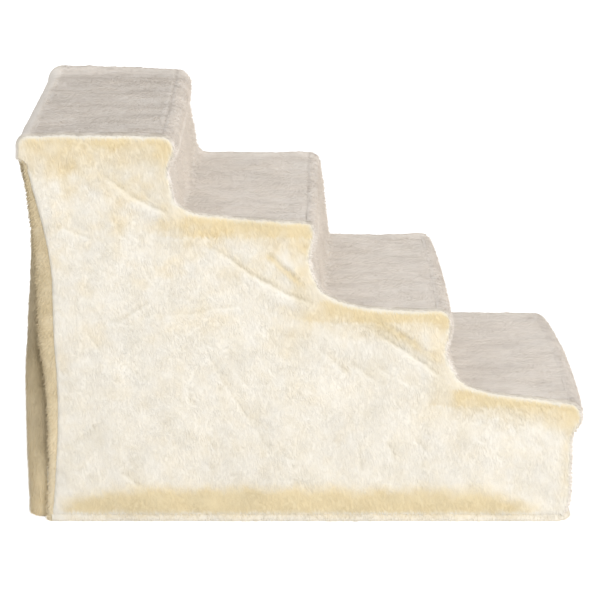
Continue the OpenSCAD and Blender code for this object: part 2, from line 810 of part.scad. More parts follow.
side_frame(true);  // side_frame_near
side_frame(false);  // side_frame_far
tread_tray(1);  // tread_tray_1
tread_tray(2);  // tread_tray_2
tread_tray(3);  // tread_tray_3
tread_tray(4);  // tread_tray_4
riser_panel(1);  // riser_panel_1
riser_panel(2);  // riser_panel_2
riser_panel(3);  // riser_panel_3
riser_panel(4);  // riser_panel_4
rail(rear_top_at);  // rear_top_rail
rail(rear_base_at);  // rear_base_rail
rail(middle_base_at);  // middle_base_rail
rail(front_base_at);  // front_base_rail
rail(middle_upper_at);  // middle_upper_rail
tray_pins();
riser_pins();
foot(true, true);  // foot_near_front
foot(true, false);  // foot_near_rear
foot(false, true);  // foot_far_front
foot(false, false);  // foot_far_rear
tread_fur(1);  // tread_fur_1
tread_fur(2);  // tread_fur_2
tread_fur(3);  // tread_fur_3
tread_fur(4);  // tread_fur_4
riser_fur(1);  // riser_fur_1
riser_fur(2);  // riser_fur_2
riser_fur(3);  // riser_fur_3
riser_fur(4);  // riser_fur_4
side_fur(true);  // side_fur_near
side_fur(false);  // side_fur_far
rear_hem(true);  // rear_hem_near
rear_hem(false);  // rear_hem_far
base_hem_side(true);  // base_hem_near
base_hem_side(false);  // base_hem_far
base_hem_front();
rear_band();
tabs(side_y - rear_hem_t - tab_t, seam_colour);  // loop_tabs
back_flap();
tabs(flap_half_w, rubber_colour);  // hook_tabs
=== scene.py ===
"""Four-step pet stairs: a moulded frame under a slip cover of ivory faux fur."""

import itertools
import json
import math
from functools import partial

import bpy
import numpy as np
from bpy.props import FloatProperty, FloatVectorProperty, PointerProperty, StringProperty
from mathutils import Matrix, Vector
from mathutils.geometry import delaunay_2d_cdt


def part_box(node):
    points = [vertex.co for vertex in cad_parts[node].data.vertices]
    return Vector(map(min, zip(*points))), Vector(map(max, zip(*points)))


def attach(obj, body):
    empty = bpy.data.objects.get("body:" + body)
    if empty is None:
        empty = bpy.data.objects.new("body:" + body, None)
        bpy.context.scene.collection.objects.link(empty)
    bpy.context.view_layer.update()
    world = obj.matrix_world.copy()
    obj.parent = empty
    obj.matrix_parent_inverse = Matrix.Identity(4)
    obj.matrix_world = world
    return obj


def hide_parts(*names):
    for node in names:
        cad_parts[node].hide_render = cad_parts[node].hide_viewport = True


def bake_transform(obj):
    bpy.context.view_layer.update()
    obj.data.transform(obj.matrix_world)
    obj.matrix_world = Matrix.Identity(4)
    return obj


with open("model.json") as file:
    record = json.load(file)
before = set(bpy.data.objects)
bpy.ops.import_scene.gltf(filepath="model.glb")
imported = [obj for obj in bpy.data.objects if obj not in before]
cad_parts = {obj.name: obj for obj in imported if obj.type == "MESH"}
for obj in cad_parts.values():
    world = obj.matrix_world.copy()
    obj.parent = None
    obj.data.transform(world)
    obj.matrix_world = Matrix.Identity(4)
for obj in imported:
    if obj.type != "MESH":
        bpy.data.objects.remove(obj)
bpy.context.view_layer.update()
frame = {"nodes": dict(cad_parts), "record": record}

bl_info = {
    "name": "Plush pet stairs",
    "version": (1, 0, 0),
    "blender": (4, 5, 0),
    "location": "View3D > Sidebar > Pet stairs",
    "description": "Dresses a four-step frame with a faux-fur slip cover",
    "category": "Object",
}

# One millimetre in Blender's metres. Shapes are worked out in millimetres.
MM = 0.001


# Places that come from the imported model


def low(node):
    """A node's lowest corner in mm."""
    return np.array(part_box(node)[0], float) / MM


def high(node):
    """A node's highest corner in mm."""
    return np.array(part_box(node)[1], float) / MM


# Step 1 is the lowest.
STEPS = (1, 2, 3, 4)
TREAD_Z = {i: high(f"tread_fur_{i}")[2] for i in STEPS}
SEAM_X = {i: high(f"tread_fur_{i}")[0] for i in STEPS}
SEAM_BACK = high("riser_fur_1")[0] - SEAM_X[1]
NOSE_X = {i: SEAM_X[i] + SEAM_BACK for i in STEPS}
BACK_X = low("side_fur_near")[0]
BACK_SEAM_X = low("tread_fur_4")[0]
HALF_W = high("side_fur_far")[1]
HINGE_Z = low("rear_band")[2]
BASE_HEM_H = high("base_hem_near")[2]
HEM_START_X = low("base_hem_near")[0]
HEM_FRONT_X = high("base_hem_front")[0]
CLOTH_T = high("tread_fur_4")[2] - low("tread_fur_4")[2]
FLAP_HALF_W = high("back_flap")[1]
FLAP_LOW_Z = low("back_flap")[2]
FLAP_TOP_Z = high("back_flap")[2]
RETURN_X = high("back_flap")[0]


# Sizes and colours that a user would change


def size_setting(name, description, default, least=0.0):
    """A length, with its default and its least value in mm."""
    return FloatProperty(
        name=name, description=description, default=default * MM, min=least * MM, unit="LENGTH")


def colour_setting(name, description, default):
    """A colour, as an sRGB hex value."""
    return StringProperty(name=name, description=description, default=default)


class CoverSettings(bpy.types.PropertyGroup):
    """Sizes of the slip cover."""

    sheet_thickness: size_setting(
        "Sheet thickness", "Thickness of the backing and the pressed pile", 3.0, 1.0)
    nose_radius: size_setting("Nose radius", "Radius of the cover over the front of a tread", 16.0, 5.0)
    edge_radius: size_setting(
        "Edge radius", "Radius of the cover where treads meet the side panels", 7.0, 2.0)
    tuck: size_setting("Tuck", "How far the cover draws in below a nose", 7.0)
    crush_height: size_setting("Crush height", "Height of the soft dents in the pile", 1.0)
    fold_height: size_setting("Fold height", "Height of the main folds in the side panels", 3.2)


class PileSettings(bpy.types.PropertyGroup):
    """Sizes of the pile."""

    length: size_setting("Tuft length", "Length of a tuft from the backing", 5.0, 1.0)
    width: size_setting("Tuft width", "Width of a tuft at its root", 1.5, 0.2)
    spacing: size_setting("Tuft spacing", "Mean distance between tufts", 2.3, 1.0)


class FinishSettings(bpy.types.PropertyGroup):
    """Colours of the finishes."""

    fibre: colour_setting("Fibre", "Tips of the ivory fibre", "#F6F2EA")
    # The deep colours are painted shade towards the backing between the tufts, a little darker than the tips
    deep: colour_setting("Deep pile", "Ivory pile towards its backing", "#F1ECE1")
    tread: colour_setting("Tread fibre", "Tips on the brushed treads", "#F7F1EA")
    tread_deep: colour_setting("Deep tread pile", "Pile of the treads towards its backing", "#F1EAE2")
    # Painted shade: the top tread and the risers are darkened with this colour, as they take less light than
    # the sides
    tread_shade_paint: colour_setting(
        "Shaded tread pile", "Pile of the treads where it is brushed down", "#C0B6AC")
    # Painted on the lit rims at the seams: greyer than the tips, to temper their highlight
    edge: colour_setting("Edge fibre", "Where the tips stand out at a seam", "#E3DCCF")
    # Painted warm shade: the gold of pile bending open below edges and in recesses, where warm light bounces
    # in, and partly the pile's own warmer roots
    gold: colour_setting("Bent pile", "Where the pile bends open over a seam", "#EFDDB4")
    # Painted shade: a darker colour mixed into the ivory fur in its creases and seams, where they lie in
    # shade
    painted_dark: colour_setting("Parted pile", "Bottom of a crease, where the pile parts", "#C9C1A9")
    # Painted shade: the flap and the rear hems are the same ivory fur as the sides, painted in these warmer,
    # darker colours because little light reaches them; the shaded pile colour is painted shade where that fur
    # folds in under the hems
    back: colour_setting(
        "Back fibre", "Fur of the flap and the rear hems, brushed the other way", "#F3E6CB")
    back_deep: colour_setting("Deep back pile", "That fur towards its backing", "#EADBBB")
    shade: colour_setting("Shaded pile", "That fur where it folds in under the hems", "#8F7D5A")
    backing: colour_setting("Backing", "Knitted backing", "#E4DFD3")
    frame: colour_setting("Frame", "Moulded frame", "#E6E6E2")
    frame_flow: colour_setting("Frame flow", "The frame where its plastic flowed last", "#D5D5CF")
    rail: colour_setting("Rail", "Drawn tube", "#C9CBCD")
    pin: colour_setting("Pin", "Push pins", "#EDEDE8")
    pin_flow: colour_setting("Pin flow", "The pins where their plastic flowed last", "#DEDED6")
    foot: colour_setting("Foot", "Rubber feet", "#2B2B2A")
    foot_bloom: colour_setting("Foot bloom", "Dusty bloom on the rubber", "#5A5854")
    tape: colour_setting("Tape", "Hook and loop tape", "#E6E1D4")
    tape_weft: colour_setting("Tape weft", "The threads across the tape", "#CFC9BA")
    floor: colour_setting("Floor", "Matte floor", "#F4F3F1")


class StudioSettings(bpy.types.PropertyGroup):
    """The camera and the light."""

    focal_length: FloatProperty(
        name="Focal length", description="Focal length on a 36 mm wide sensor",
        default=141.4 * MM, unit="CAMERA")
    camera_place: FloatVectorProperty(
        name="Camera place", description="Where the camera stands",
        default=(-0.001, -3.035, 1.167), subtype="TRANSLATION", unit="LENGTH")
    camera_pitch: FloatProperty(
        name="Camera pitch", description="How far the camera looks down",
        default=math.radians(17.03), subtype="ANGLE", unit="ROTATION")
    camera_yaw: FloatProperty(
        name="Camera yaw", description="How far the camera turns to the left",
        default=math.radians(0.053), subtype="ANGLE", unit="ROTATION")
    key_strength: FloatProperty(
        name="Key strength", description="Power of the large front light in watts",
        default=98.0, min=0.0)
    sky_strength: FloatProperty(
        name="Sky strength", description="Strength of the even light from all round",
        default=0.68, min=0.0)


# Small helpers for shapes, in mm


def smooth(t):
    """Eases 0 to 1."""
    t = np.clip(t, 0.0, 1.0)
    return t * t * (3.0 - 2.0 * t)


def mix(a, b, share):
    """A point, a number or a row of them between a and b."""
    return a + (b - a) * share


def curve(p0, p1, p2, p3, count):
    """Points of a cubic curve, without its last one."""
    t = np.linspace(0.0, 1.0, count, endpoint=False)[:, None]
    p0, p1, p2, p3 = (np.array(p, float) for p in (p0, p1, p2, p3))
    return (1 - t) ** 3 * p0 + 3 * t * (1 - t) ** 2 * p1 + 3 * t * t * (1 - t) * p2 + t**3 * p3


def arc(centre, radius, start, end, count):
    """Points of an arc in degrees, without its last one."""
    a = np.radians(np.linspace(start, end, count, endpoint=False))
    return np.array(centre, float) + radius * np.column_stack((np.cos(a), np.sin(a)))


def line(start, end, count):
    """Points of a straight run, without its last one."""
    t = np.linspace(0.0, 1.0, count, endpoint=False)[:, None]
    return mix(np.array(start, float), np.array(end, float), t)


def table_value(at, table):
    """A value read from a table of (place, value) rows."""
    return np.interp(at, *zip(*table))


def bump(distance, width):
    """A round swelling, 1 at distance 0."""
    return np.exp(-((distance / width) ** 2))


# What scatters the noise: a large number for each axis, one for the seed, and its generator's two
AXIS_SCATTER = np.array((73856093, 19349663, 83492791))
SEED_SCATTER = 2654435
SHUFFLE, SHUFFLE_STEP = 1103515245, 12345
# Brings the noise out to about -1 and 1
NOISE_GAIN = 1.6


def noise(points, cell, seed):
    """Smooth noise, about -1 to 1, with swellings about one cell wide."""
    p = np.atleast_2d(points) / cell
    base = np.floor(p).astype(np.int64)
    t = p - base
    ease = t * t * t * (t * (t * 6.0 - 15.0) + 10.0)
    total = np.zeros(len(p))
    for corner in itertools.product((0, 1), repeat=3):
        key = np.bitwise_xor.reduce((base + corner) * AXIS_SCATTER, axis=1) ^ (seed * SEED_SCATTER)
        toward = []
        for turn in (1, 2, 3):
            key = (key * SHUFFLE + SHUFFLE_STEP * turn) & 0x7FFFFFFF
            key = key ^ (key >> 15)
            toward.append((key & 0xFFFF) / 32767.5 - 1.0)
        weight = np.prod(np.where(np.array(corner) == 1, ease, 1.0 - ease), axis=1)
        total += weight * np.sum(np.column_stack(toward) * (t - corner), axis=1)
    return total * NOISE_GAIN


def layered(points, seed, layers):
    """Noise in layers, each (height, width of its swellings in mm, how far its seed is from seed)."""
    return sum(height * noise(points, cell, seed + step) for height, cell, step in layers)


def distances(route):
    """How far along a route each of its points lies."""
    return np.concatenate(([0.0], np.cumsum(np.linalg.norm(np.diff(route, axis=0), axis=1))))


def directions(routes, axis=0):
    """Unit directions along a route, or along each of several."""
    toward = np.gradient(routes, axis=axis)
    return toward / np.linalg.norm(toward, axis=-1, keepdims=True)


def stacked(*coordinates):
    """Points as rows, from grids of their coordinates."""
    return np.column_stack([each.ravel() for each in np.broadcast_arrays(*coordinates)])


def rounded(gap, r):
    """How far a rounded edge has fallen away at a distance from its outline."""
    return np.where(gap < r, r - np.sqrt(np.maximum(r * r - (r - gap) ** 2, 0.0)), 0.0)


def off_polyline(points, route):
    """Distance from each 2-D point to a route, how far along it that is, from 0 to 1, and on which side."""
    route = np.array(route, float)
    starts = distances(route)
    best = np.full(len(points), np.inf)
    along, side = np.zeros(len(points)), np.zeros(len(points))
    for a, b, start, end in zip(route[:-1], route[1:], starts[:-1], starts[1:]):
        toward = (b - a) / (end - start)
        off = points - a
        run = np.clip(off @ toward, 0.0, end - start)
        gap = np.linalg.norm(off - run[:, None] * toward, axis=1)
        nearer = gap < best
        best[nearer] = gap[nearer]
        along[nearer] = (start + run[nearer]) / starts[-1]
        side[nearer] = (toward[0] * off[:, 1] - toward[1] * off[:, 0])[nearer]
    return best, along, np.sign(side)


# Small helpers for Blender


def link_mesh(name, vertices, faces):
    """A piece from points in mm and faces."""
    mesh = bpy.data.meshes.new(name)
    mesh.from_pydata((np.asarray(vertices) * MM).tolist(), [], faces)
    mesh.validate()
    mesh.shade_smooth()
    piece = bpy.data.objects.new(name, mesh)
    bpy.context.collection.objects.link(piece)
    return piece


# Where on its fibre, from root to tip, the pressed pile of a sheet shows
PRESSED_ALONG = 0.35


def store(piece, **marks):
    """Keeps numbers on the vertices of a piece: one number for all, or one for each."""
    for name, values in marks.items():
        layer = piece.data.attributes.new(name, "FLOAT", "POINT")
        full = np.broadcast_to(np.ravel(values), len(piece.data.vertices))
        layer.data.foreach_set("value", full.astype(np.float32))


def grid_faces(rows, columns, flip=False):
    """Quads of a grid whose points run along the columns first."""
    faces = []
    for r, c in itertools.product(range(rows - 1), range(columns - 1)):
        quad = (r * columns + c, r * columns + c + 1, (r + 1) * columns + c + 1, (r + 1) * columns + c)
        faces.append(quad[::-1] if flip else quad)
    return faces


def plain(piece):
    """Turns a piece with modifiers into a plain mesh."""
    depsgraph = bpy.context.evaluated_depsgraph_get()
    mesh = bpy.data.meshes.new_from_object(piece.evaluated_get(depsgraph), depsgraph=depsgraph)
    mesh.name = piece.name
    piece.modifiers.clear()
    piece.data = mesh
    return piece


# Faces that meet at more than this keep a sharp edge
SHARP_ANGLE = math.radians(50.0)


def thicken(piece, backing):
    """Gives a sheet its thickness behind its outer face, which stays where it is."""
    piece.data.materials.append(backing)
    solidify = piece.modifiers.new("thickness", "SOLIDIFY")
    solidify.thickness = bpy.context.scene.stair_cover.sheet_thickness
    solidify.offset = -1.0
    solidify.material_offset = len(piece.data.materials) - 1
    solidify.material_offset_rim = 0
    solidify.use_even_offset = False
    plain(piece)
    piece.data.set_sharp_from_angle(angle=SHARP_ANGLE)


def add_node(tree, kind, settings=None, inputs=None):
    """Adds a node with its settings. An input is a number, a colour or a socket to link from."""
    made = tree.nodes.new(kind)
    for name, value in (settings or {}).items():
        setattr(made, name, value)
    for name, value in (inputs or {}).items():
        if isinstance(value, bpy.types.NodeSocket):
            tree.links.new(value, made.inputs[name])
        else:
            made.inputs[name].default_value = value
    return made


def linear(code, alpha=1.0):
    """An sRGB hex colour as linear light."""
    parts = [int(code[k : k + 2], 16) / 255.0 for k in (1, 3, 5)]
    return tuple(c / 12.92 if c <= 0.04045 else ((c + 0.055) / 1.055) ** 2.4 for c in parts) + (alpha,)


def per_metre(size_mm):
    """The scale of a texture whose pattern is size_mm across."""
    return 1.0 / (size_mm * MM)


# Materials


def new_material(name):
    """An empty node material, with its output node."""
    material = bpy.data.materials.new(name)
    material.use_nodes = True
    material.node_tree.nodes.clear()
    return material, material.node_tree, material.node_tree.nodes.new("ShaderNodeOutputMaterial")


def streaked_noise(tree, place, size_mm, detail=2.0, stretch=(1.0, 1.0, 1.0)):
    """Noise drawn out along the axes by stretch."""
    mapping = add_node(tree, "ShaderNodeMapping", inputs={
        "Vector": place, "Scale": tuple(1.0 / s for s in stretch)})
    return add_node(tree, "ShaderNodeTexNoise", inputs={
        "Vector": mapping.outputs["Vector"], "Scale": per_metre(size_mm), "Detail": detail, "Roughness": 0.55,
    }).outputs["Fac"]


def ranged(tree, value, from_low, from_high, to_low, to_high):
    """A number moved from one range to another, and kept in it."""
    return add_node(tree, "ShaderNodeMapRange", inputs={
        "Value": value, "From Min": from_low, "From Max": from_high, "To Min": to_low, "To Max": to_high,
    }).outputs["Result"]


def mixed_colour(tree, share, a, b, blend="MIX"):
    """A colour between a and b."""
    made = add_node(tree, "ShaderNodeMix", {"data_type": "RGBA", "blend_type": blend})
    for slot, value in ((0, share), (6, a), (7, b)):
        if isinstance(value, bpy.types.NodeSocket):
            tree.links.new(value, made.inputs[slot])
        else:
            made.inputs[slot].default_value = value
    return made.outputs[2]


def surface_material(name, draw):
    """A material of one principled shader. draw gives its inputs, and as its relief the strength, depth
    in mm and height of its bump."""
    material, tree, output = new_material(name)
    place = add_node(tree, "ShaderNodeTexCoord").outputs["Object"]
    inputs = draw(tree, place, bpy.context.scene.stair_finish)
    if "relief" in inputs:
        strength, depth, height = inputs.pop("relief")
        relief = add_node(tree, "ShaderNodeBump", inputs={
            "Strength": strength, "Distance": depth * MM, "Height": height})
        inputs["Normal"] = relief.outputs["Normal"]
    shader = add_node(tree, "ShaderNodeBsdfPrincipled", inputs=inputs)
    tree.links.new(shader.outputs["BSDF"], output.inputs["Surface"])
    return material


# Each kind of fur: its colours towards the backing, at the tips and of its painted shade, how far its
# brushed streaks stretch along X, Y and Z, the width in mm and the gold of its crushed patches, and
# the darkest and lightest of its streaks. The fur of the flap and the rear hems is the side's fur,
# painted warmer and darker as painted shade.
PLUSH = {
    "faux_fur_side_sheared": (
        "deep", "fibre", "painted_dark", (1.4, 1.4, 2.2), (16.0, 0.12), (0.98, 1.015)),
    "faux_fur_tread_brushed": (
        "tread_deep", "tread", "tread_shade_paint", (9.0, 1.6, 1.6), (20.0, 0.03), (0.95, 1.03)),
    "faux_fur_sheared_shade_painted": (
        "back_deep", "back", "shade", (1.4, 1.4, 2.2), (16.0, 0.12), (0.98, 1.015)),
}


def plush(kind, tree, place, finish):
    """Acrylic faux fur, knitted and sheared: short fibre that crushes into soft patches.

    The fibre is far finer than a pixel, so its streaks are drawn a few millimetres apart, as the
    eye sees them.
    """
    *names, lie, (crush_size, crush_gold), streak_light = PLUSH[kind]
    deep, tip, painted_dark = (linear(getattr(finish, name)) for name in names)
    tone, along, parting = (
        add_node(tree, "ShaderNodeAttribute", {"attribute_name": name}).outputs["Fac"]
        for name in ("tone", "along", "parting"))
    crush = ranged(tree, streaked_noise(tree, place, crush_size, 3.0), 0.38, 0.66, 0.0, crush_gold)
    patch = ranged(tree, streaked_noise(tree, place, 55.0), 0.35, 0.65, 0.965, 1.02)
    streak = streaked_noise(tree, place, 2.6, stretch=lie)
    # Above zero the tone mark paints warm shade in gold; below zero it paints the edge colour of the lit rims
    golden, white = (
        add_node(tree, "ShaderNodeMath", {"operation": operation, "use_clamp": True}, {0: tone, 1: value})
        for operation, value in (("ADD", crush), ("MULTIPLY", -1.0)))
    colour = mixed_colour(tree, along, deep, tip)
    colour = mixed_colour(tree, golden.outputs["Value"], colour, linear(finish.gold))
    colour = mixed_colour(tree, white.outputs["Value"], colour, linear(finish.edge))
    # Painted shade: mixes in the fur's shade colour by the mark stored on its vertices
    colour = mixed_colour(tree, parting, colour, painted_dark)
    lightness = add_node(tree, "ShaderNodeMath", {"operation": "MULTIPLY"}, {
        0: ranged(tree, streak, 0.3, 0.7, *streak_light), 1: patch})
    grey = add_node(tree, "ShaderNodeCombineColor", inputs={
        axis: lightness.outputs["Value"] for axis in ("Red", "Green", "Blue")})
    return {
        "Base Color": mixed_colour(tree, 1.0, colour, grey.outputs["Color"], "MULTIPLY"),
        "Roughness": 0.95, "Specular IOR Level": 0.15, "Sheen Weight": 0.2, "Sheen Roughness": 0.6,
        "Sheen Tint": tip, "relief": (0.35, 0.6, streak)}


def knitted_backing(tree, place, finish):
    """Polyester warp knit: fine ribs 1.2 mm apart, drawn about 3 mm apart so that they show."""
    # Across a flat sheet the wave repeats about 2.25 times in a unit.
    ribs = add_node(tree, "ShaderNodeTexWave", {"bands_direction": "DIAGONAL"}, {
        "Vector": place, "Scale": per_metre(7.2), "Distortion": 0.6, "Detail": 1.0})
    fluff = ranged(tree, streaked_noise(tree, place, 6.0), 0.3, 0.7, 0.0, 0.35)
    return {
        "Base Color": mixed_colour(tree, fluff, linear(finish.backing), linear(finish.gold)),
        "Roughness": 0.9, "Specular IOR Level": 0.2, "relief": (0.5, 0.3, ribs.outputs["Fac"])}


def moulded_polypropylene(tree, place, finish):
    """Injection-moulded polypropylene: a satin skin with the grain of a spark-eroded mould."""
    grain = streaked_noise(tree, place, 1.2, 1.0)
    flow = ranged(tree, streaked_noise(tree, place, 70.0), 0.35, 0.65, 0.0, 0.25)
    return {
        "Base Color": mixed_colour(tree, flow, linear(finish.frame), linear(finish.frame_flow)),
        "Roughness": ranged(tree, grain, 0.3, 0.7, 0.42, 0.56), "IOR": 1.49, "relief": (0.35, 0.15, grain)}


def drawn_aluminium(tree, place, finish):
    """Drawn aluminium tube: a soft metallic lustre with fine lines along the tube."""
    lines = streaked_noise(tree, place, 0.8, stretch=(1.0, 60.0, 1.0))
    return {
        "Base Color": linear(finish.rail), "Metallic": 1.0,
        "Roughness": ranged(tree, lines, 0.3, 0.7, 0.28, 0.42), "relief": (0.2, 0.05, lines)}


def moulded_nylon(tree, place, finish):
    """Moulded nylon: smoother and glossier than the frame."""
    flow = streaked_noise(tree, place, 3.0)
    share = ranged(tree, flow, 0.3, 0.7, 0.0, 0.3)
    return {
        "Base Color": mixed_colour(tree, share, linear(finish.pin), linear(finish.pin_flow)),
        "Roughness": ranged(tree, flow, 0.3, 0.7, 0.3, 0.42), "IOR": 1.53}


def moulded_rubber(tree, place, finish):
    """Compression-moulded rubber: dull, with a dusty bloom."""
    bloom = streaked_noise(tree, place, 5.0, 3.0)
    share = ranged(tree, bloom, 0.4, 0.75, 0.0, 0.35)
    return {
        "Base Color": mixed_colour(tree, share, linear(finish.foot), linear(finish.foot_bloom)),
        "Roughness": 0.8, "Specular IOR Level": 0.35, "relief": (0.3, 0.1, bloom)}


def woven_tape(tree, place, finish):
    """Woven nylon tape: a plain weave 0.6 mm apart, drawn at twice that so that it shows."""
    weave = add_node(tree, "ShaderNodeTexChecker", inputs={"Vector": place, "Scale": per_metre(1.2)})
    share = weave.outputs["Fac"]
    return {
        "Base Color": mixed_colour(tree, share, linear(finish.tape), linear(finish.tape_weft)),
        "Roughness": 0.75, "relief": (0.4, 0.2, share)}


# What each kind of frame piece is made of, by its slot: the material's name and how it is drawn
FRAME_FINISHES = {
    "moulded_frame": ("polypropylene_moulded", moulded_polypropylene),
    "rail_tube": ("aluminium_drawn", drawn_aluminium),
    "push_pin": ("nylon_moulded", moulded_nylon),
    "rubber_foot": ("rubber_moulded", moulded_rubber),
    "loop_tape": ("nylon_loop_tape_woven", woven_tape),
    "hook_tape": ("nylon_hook_tape_woven", woven_tape),
}


# The cover's section, in mm, as [x, z]


# Width and height of the cover's curve at the foot of a riser: along the middle, and by step at the
# near and far edges, where the cloth is held up by the side panels
COVE_MIDDLE = np.array((13.0, 18.0))
COVE_NEAR = {4: np.array((34.0, 40.0)), 3: np.array((28.0, 32.0)), 2: np.array((28.0, 26.0))}
COVE_FAR = {4: np.array((18.0, 34.0)), 3: np.array((5.0, 12.0)), 2: np.array((9.0, 22.0))}
# How far from those edges they turn into the middle's curve, and how far its handles reach
COVE_NEAR_REACH, COVE_FAR_REACH = 70.0, 60.0
COVE_HANDLE = 0.35
# The cover isn't quite square on its frame. By step, how far forward of its usual place it stands
# at the near side, along the middle and at the far side: at the nose, below the lip and at the foot.
NOSE_FORWARD = {4: (0.0, 1.0, 0.0), 3: (1.5, 6.0, 10.5), 2: (3.5, 4.5, -3.0), 1: (1.5, 5.0, -5.0)}
NECK_FORWARD = {4: (-1.5, 0.0, 5.0), 3: (3.0, 12.0, 21.0), 2: (5.5, 5.0, 0.0), 1: (2.0, 2.0, 1.0)}
FOOT_FORWARD = {4: (-2.0, 1.0, 6.5), 3: (6.5, 13.0, 22.0), 2: (12.0, 8.0, 4.0), 1: (2.0, 2.0, 2.0)}
# How far the front turns in above its hem, for the same three places, and from what height
FRONT_TURN = (8.0, 1.5, 4.0)
FRONT_TURN_Z = 36.0
# How far the seam at the near edge of each tread stands above it, by distance from the back of the
# tread in mm. The side panel pulls it up, most where a riser starts.
NEAR_LIFT = {
    4: ((0, 5.0), (60, 6.5), (150, 5.5), (198, 3.0)),
    3: ((0, 21.0), (12, 23.5), (28, 22.5), (50, 19.5), (81, 17.0), (171, 10.0)),
    2: ((0, 29.0), (17, 31.0), (27, 28.0), (45, 22.5), (68, 17.5), (110, 14.5), (171, 13.5)),
    1: ((0, 28.0), (20, 29.0), (39, 26.0), (58, 20.5), (117, 12.5), (172, 4.5))}
FAR_LIFT = {
    4: ((0, 8.0), (25, 12.0), (120, 9.0), (198, 4.5)),
    3: ((0, 5.0), (120, 4.0), (150, 5.5), (171, 4.0)),
    2: ((0, 3.0), (90, 0.0), (145, 3.0), (171, 1.5)),
    1: ((0, 2.0), (140, 1.0), (171, -1.5))}
# How far above a tread that lift fades out
LIFT_FADE_H = 70.0
# The small unevenness of the seams, in layers of noise
SEAM_WANDER = ((0.9, 24.0, 91), (0.6, 10.0, 92))
# How far in front of its place in the model the seam across each tread lies, for the same three places
SEAM_FORWARD = {4: (3.0, 4.0, 2.0), 3: (11.0, 13.0, 15.0), 2: (6.0, 7.0, 2.0), 1: (4.0, 5.0, -7.0)}
# How much rounder the lowest nose is at its far end
FAR_ROUNDER = 4.0
# How far the cover bends down from a nose before it turns in, and how far before its neck it runs
# straight, by step
NOSE_DROP = 12.0
NECK_RUN = {4: 11.0, 3: 11.0, 2: 11.0, 1: 3.0}
# The rows of points along each part of a riser's section
ROWS_TOP, ROWS_NOSE, ROWS_TUCK, ROWS_RISER, ROWS_COVE, ROWS_TREAD = 6, 12, 12, 14, 16, 40
# How deep the seam across each tread shows
SEAM_DEPTH = {4: 1.0, 3: 0.9, 2: 0.12, 1: 0.05}
# How much painted shade the top tread takes, and the nose and the foot of each riser, for the dimmer light on
# them
TOP_SHADE, NOSE_SHADE, FOOT_SHADE = 0.25, 0.16, 0.0
# Length over which it turns from one to the other
SHADE_LENGTH = 130.0
# Depth of the cover's lip below a tread
LIP_H = 40.0
# Where the panels and the front end, just inside the hem along the floor
CLOTH_FOOT_X, CLOTH_FOOT_Z = HEM_FRONT_X - 2.0, BASE_HEM_H - 2.0


def lifted(section, lift):
    """A section at a side panel, with its treads raised by their lifts and its seam a little uneven."""
    x, z = section[:, 0], section[:, 1]
    rise = np.zeros(len(section))
    for i in STEPS:
        above = z - TREAD_Z[i]
        share = smooth(np.where(above > 0.0, 1.0 - above / LIFT_FADE_H, 1.0 + above / LIP_H))
        rise += share * table_value(x - (BACK_X if i == 4 else NOSE_X[i + 1]), lift[i])
    along = stacked(x - z, 0.0, 0.0)
    uneven = layered(along, 0, SEAM_WANDER) * smooth((z - 30.0) / 30.0)
    return section + np.column_stack((0.7 * uneven, uneven + rise))


def at_width(values, share):
    """A value between those at the near side, along the middle and at the far side."""
    weights = (1 - share) * (1 - 2 * share), 4 * share * (1 - share), share * (2 * share - 1)
    return sum(value * weight for value, weight in zip(values, weights))


def width_share(y):
    """How far across the stairs a place is, from the near side at 0 to the far side at 1."""
    return (y + HALF_W) / (2.0 * HALF_W)


def seam_x(i, y):
    """Where the seam across a tread lies."""
    return SEAM_X[i] + at_width(SEAM_FORWARD[i], width_share(y))


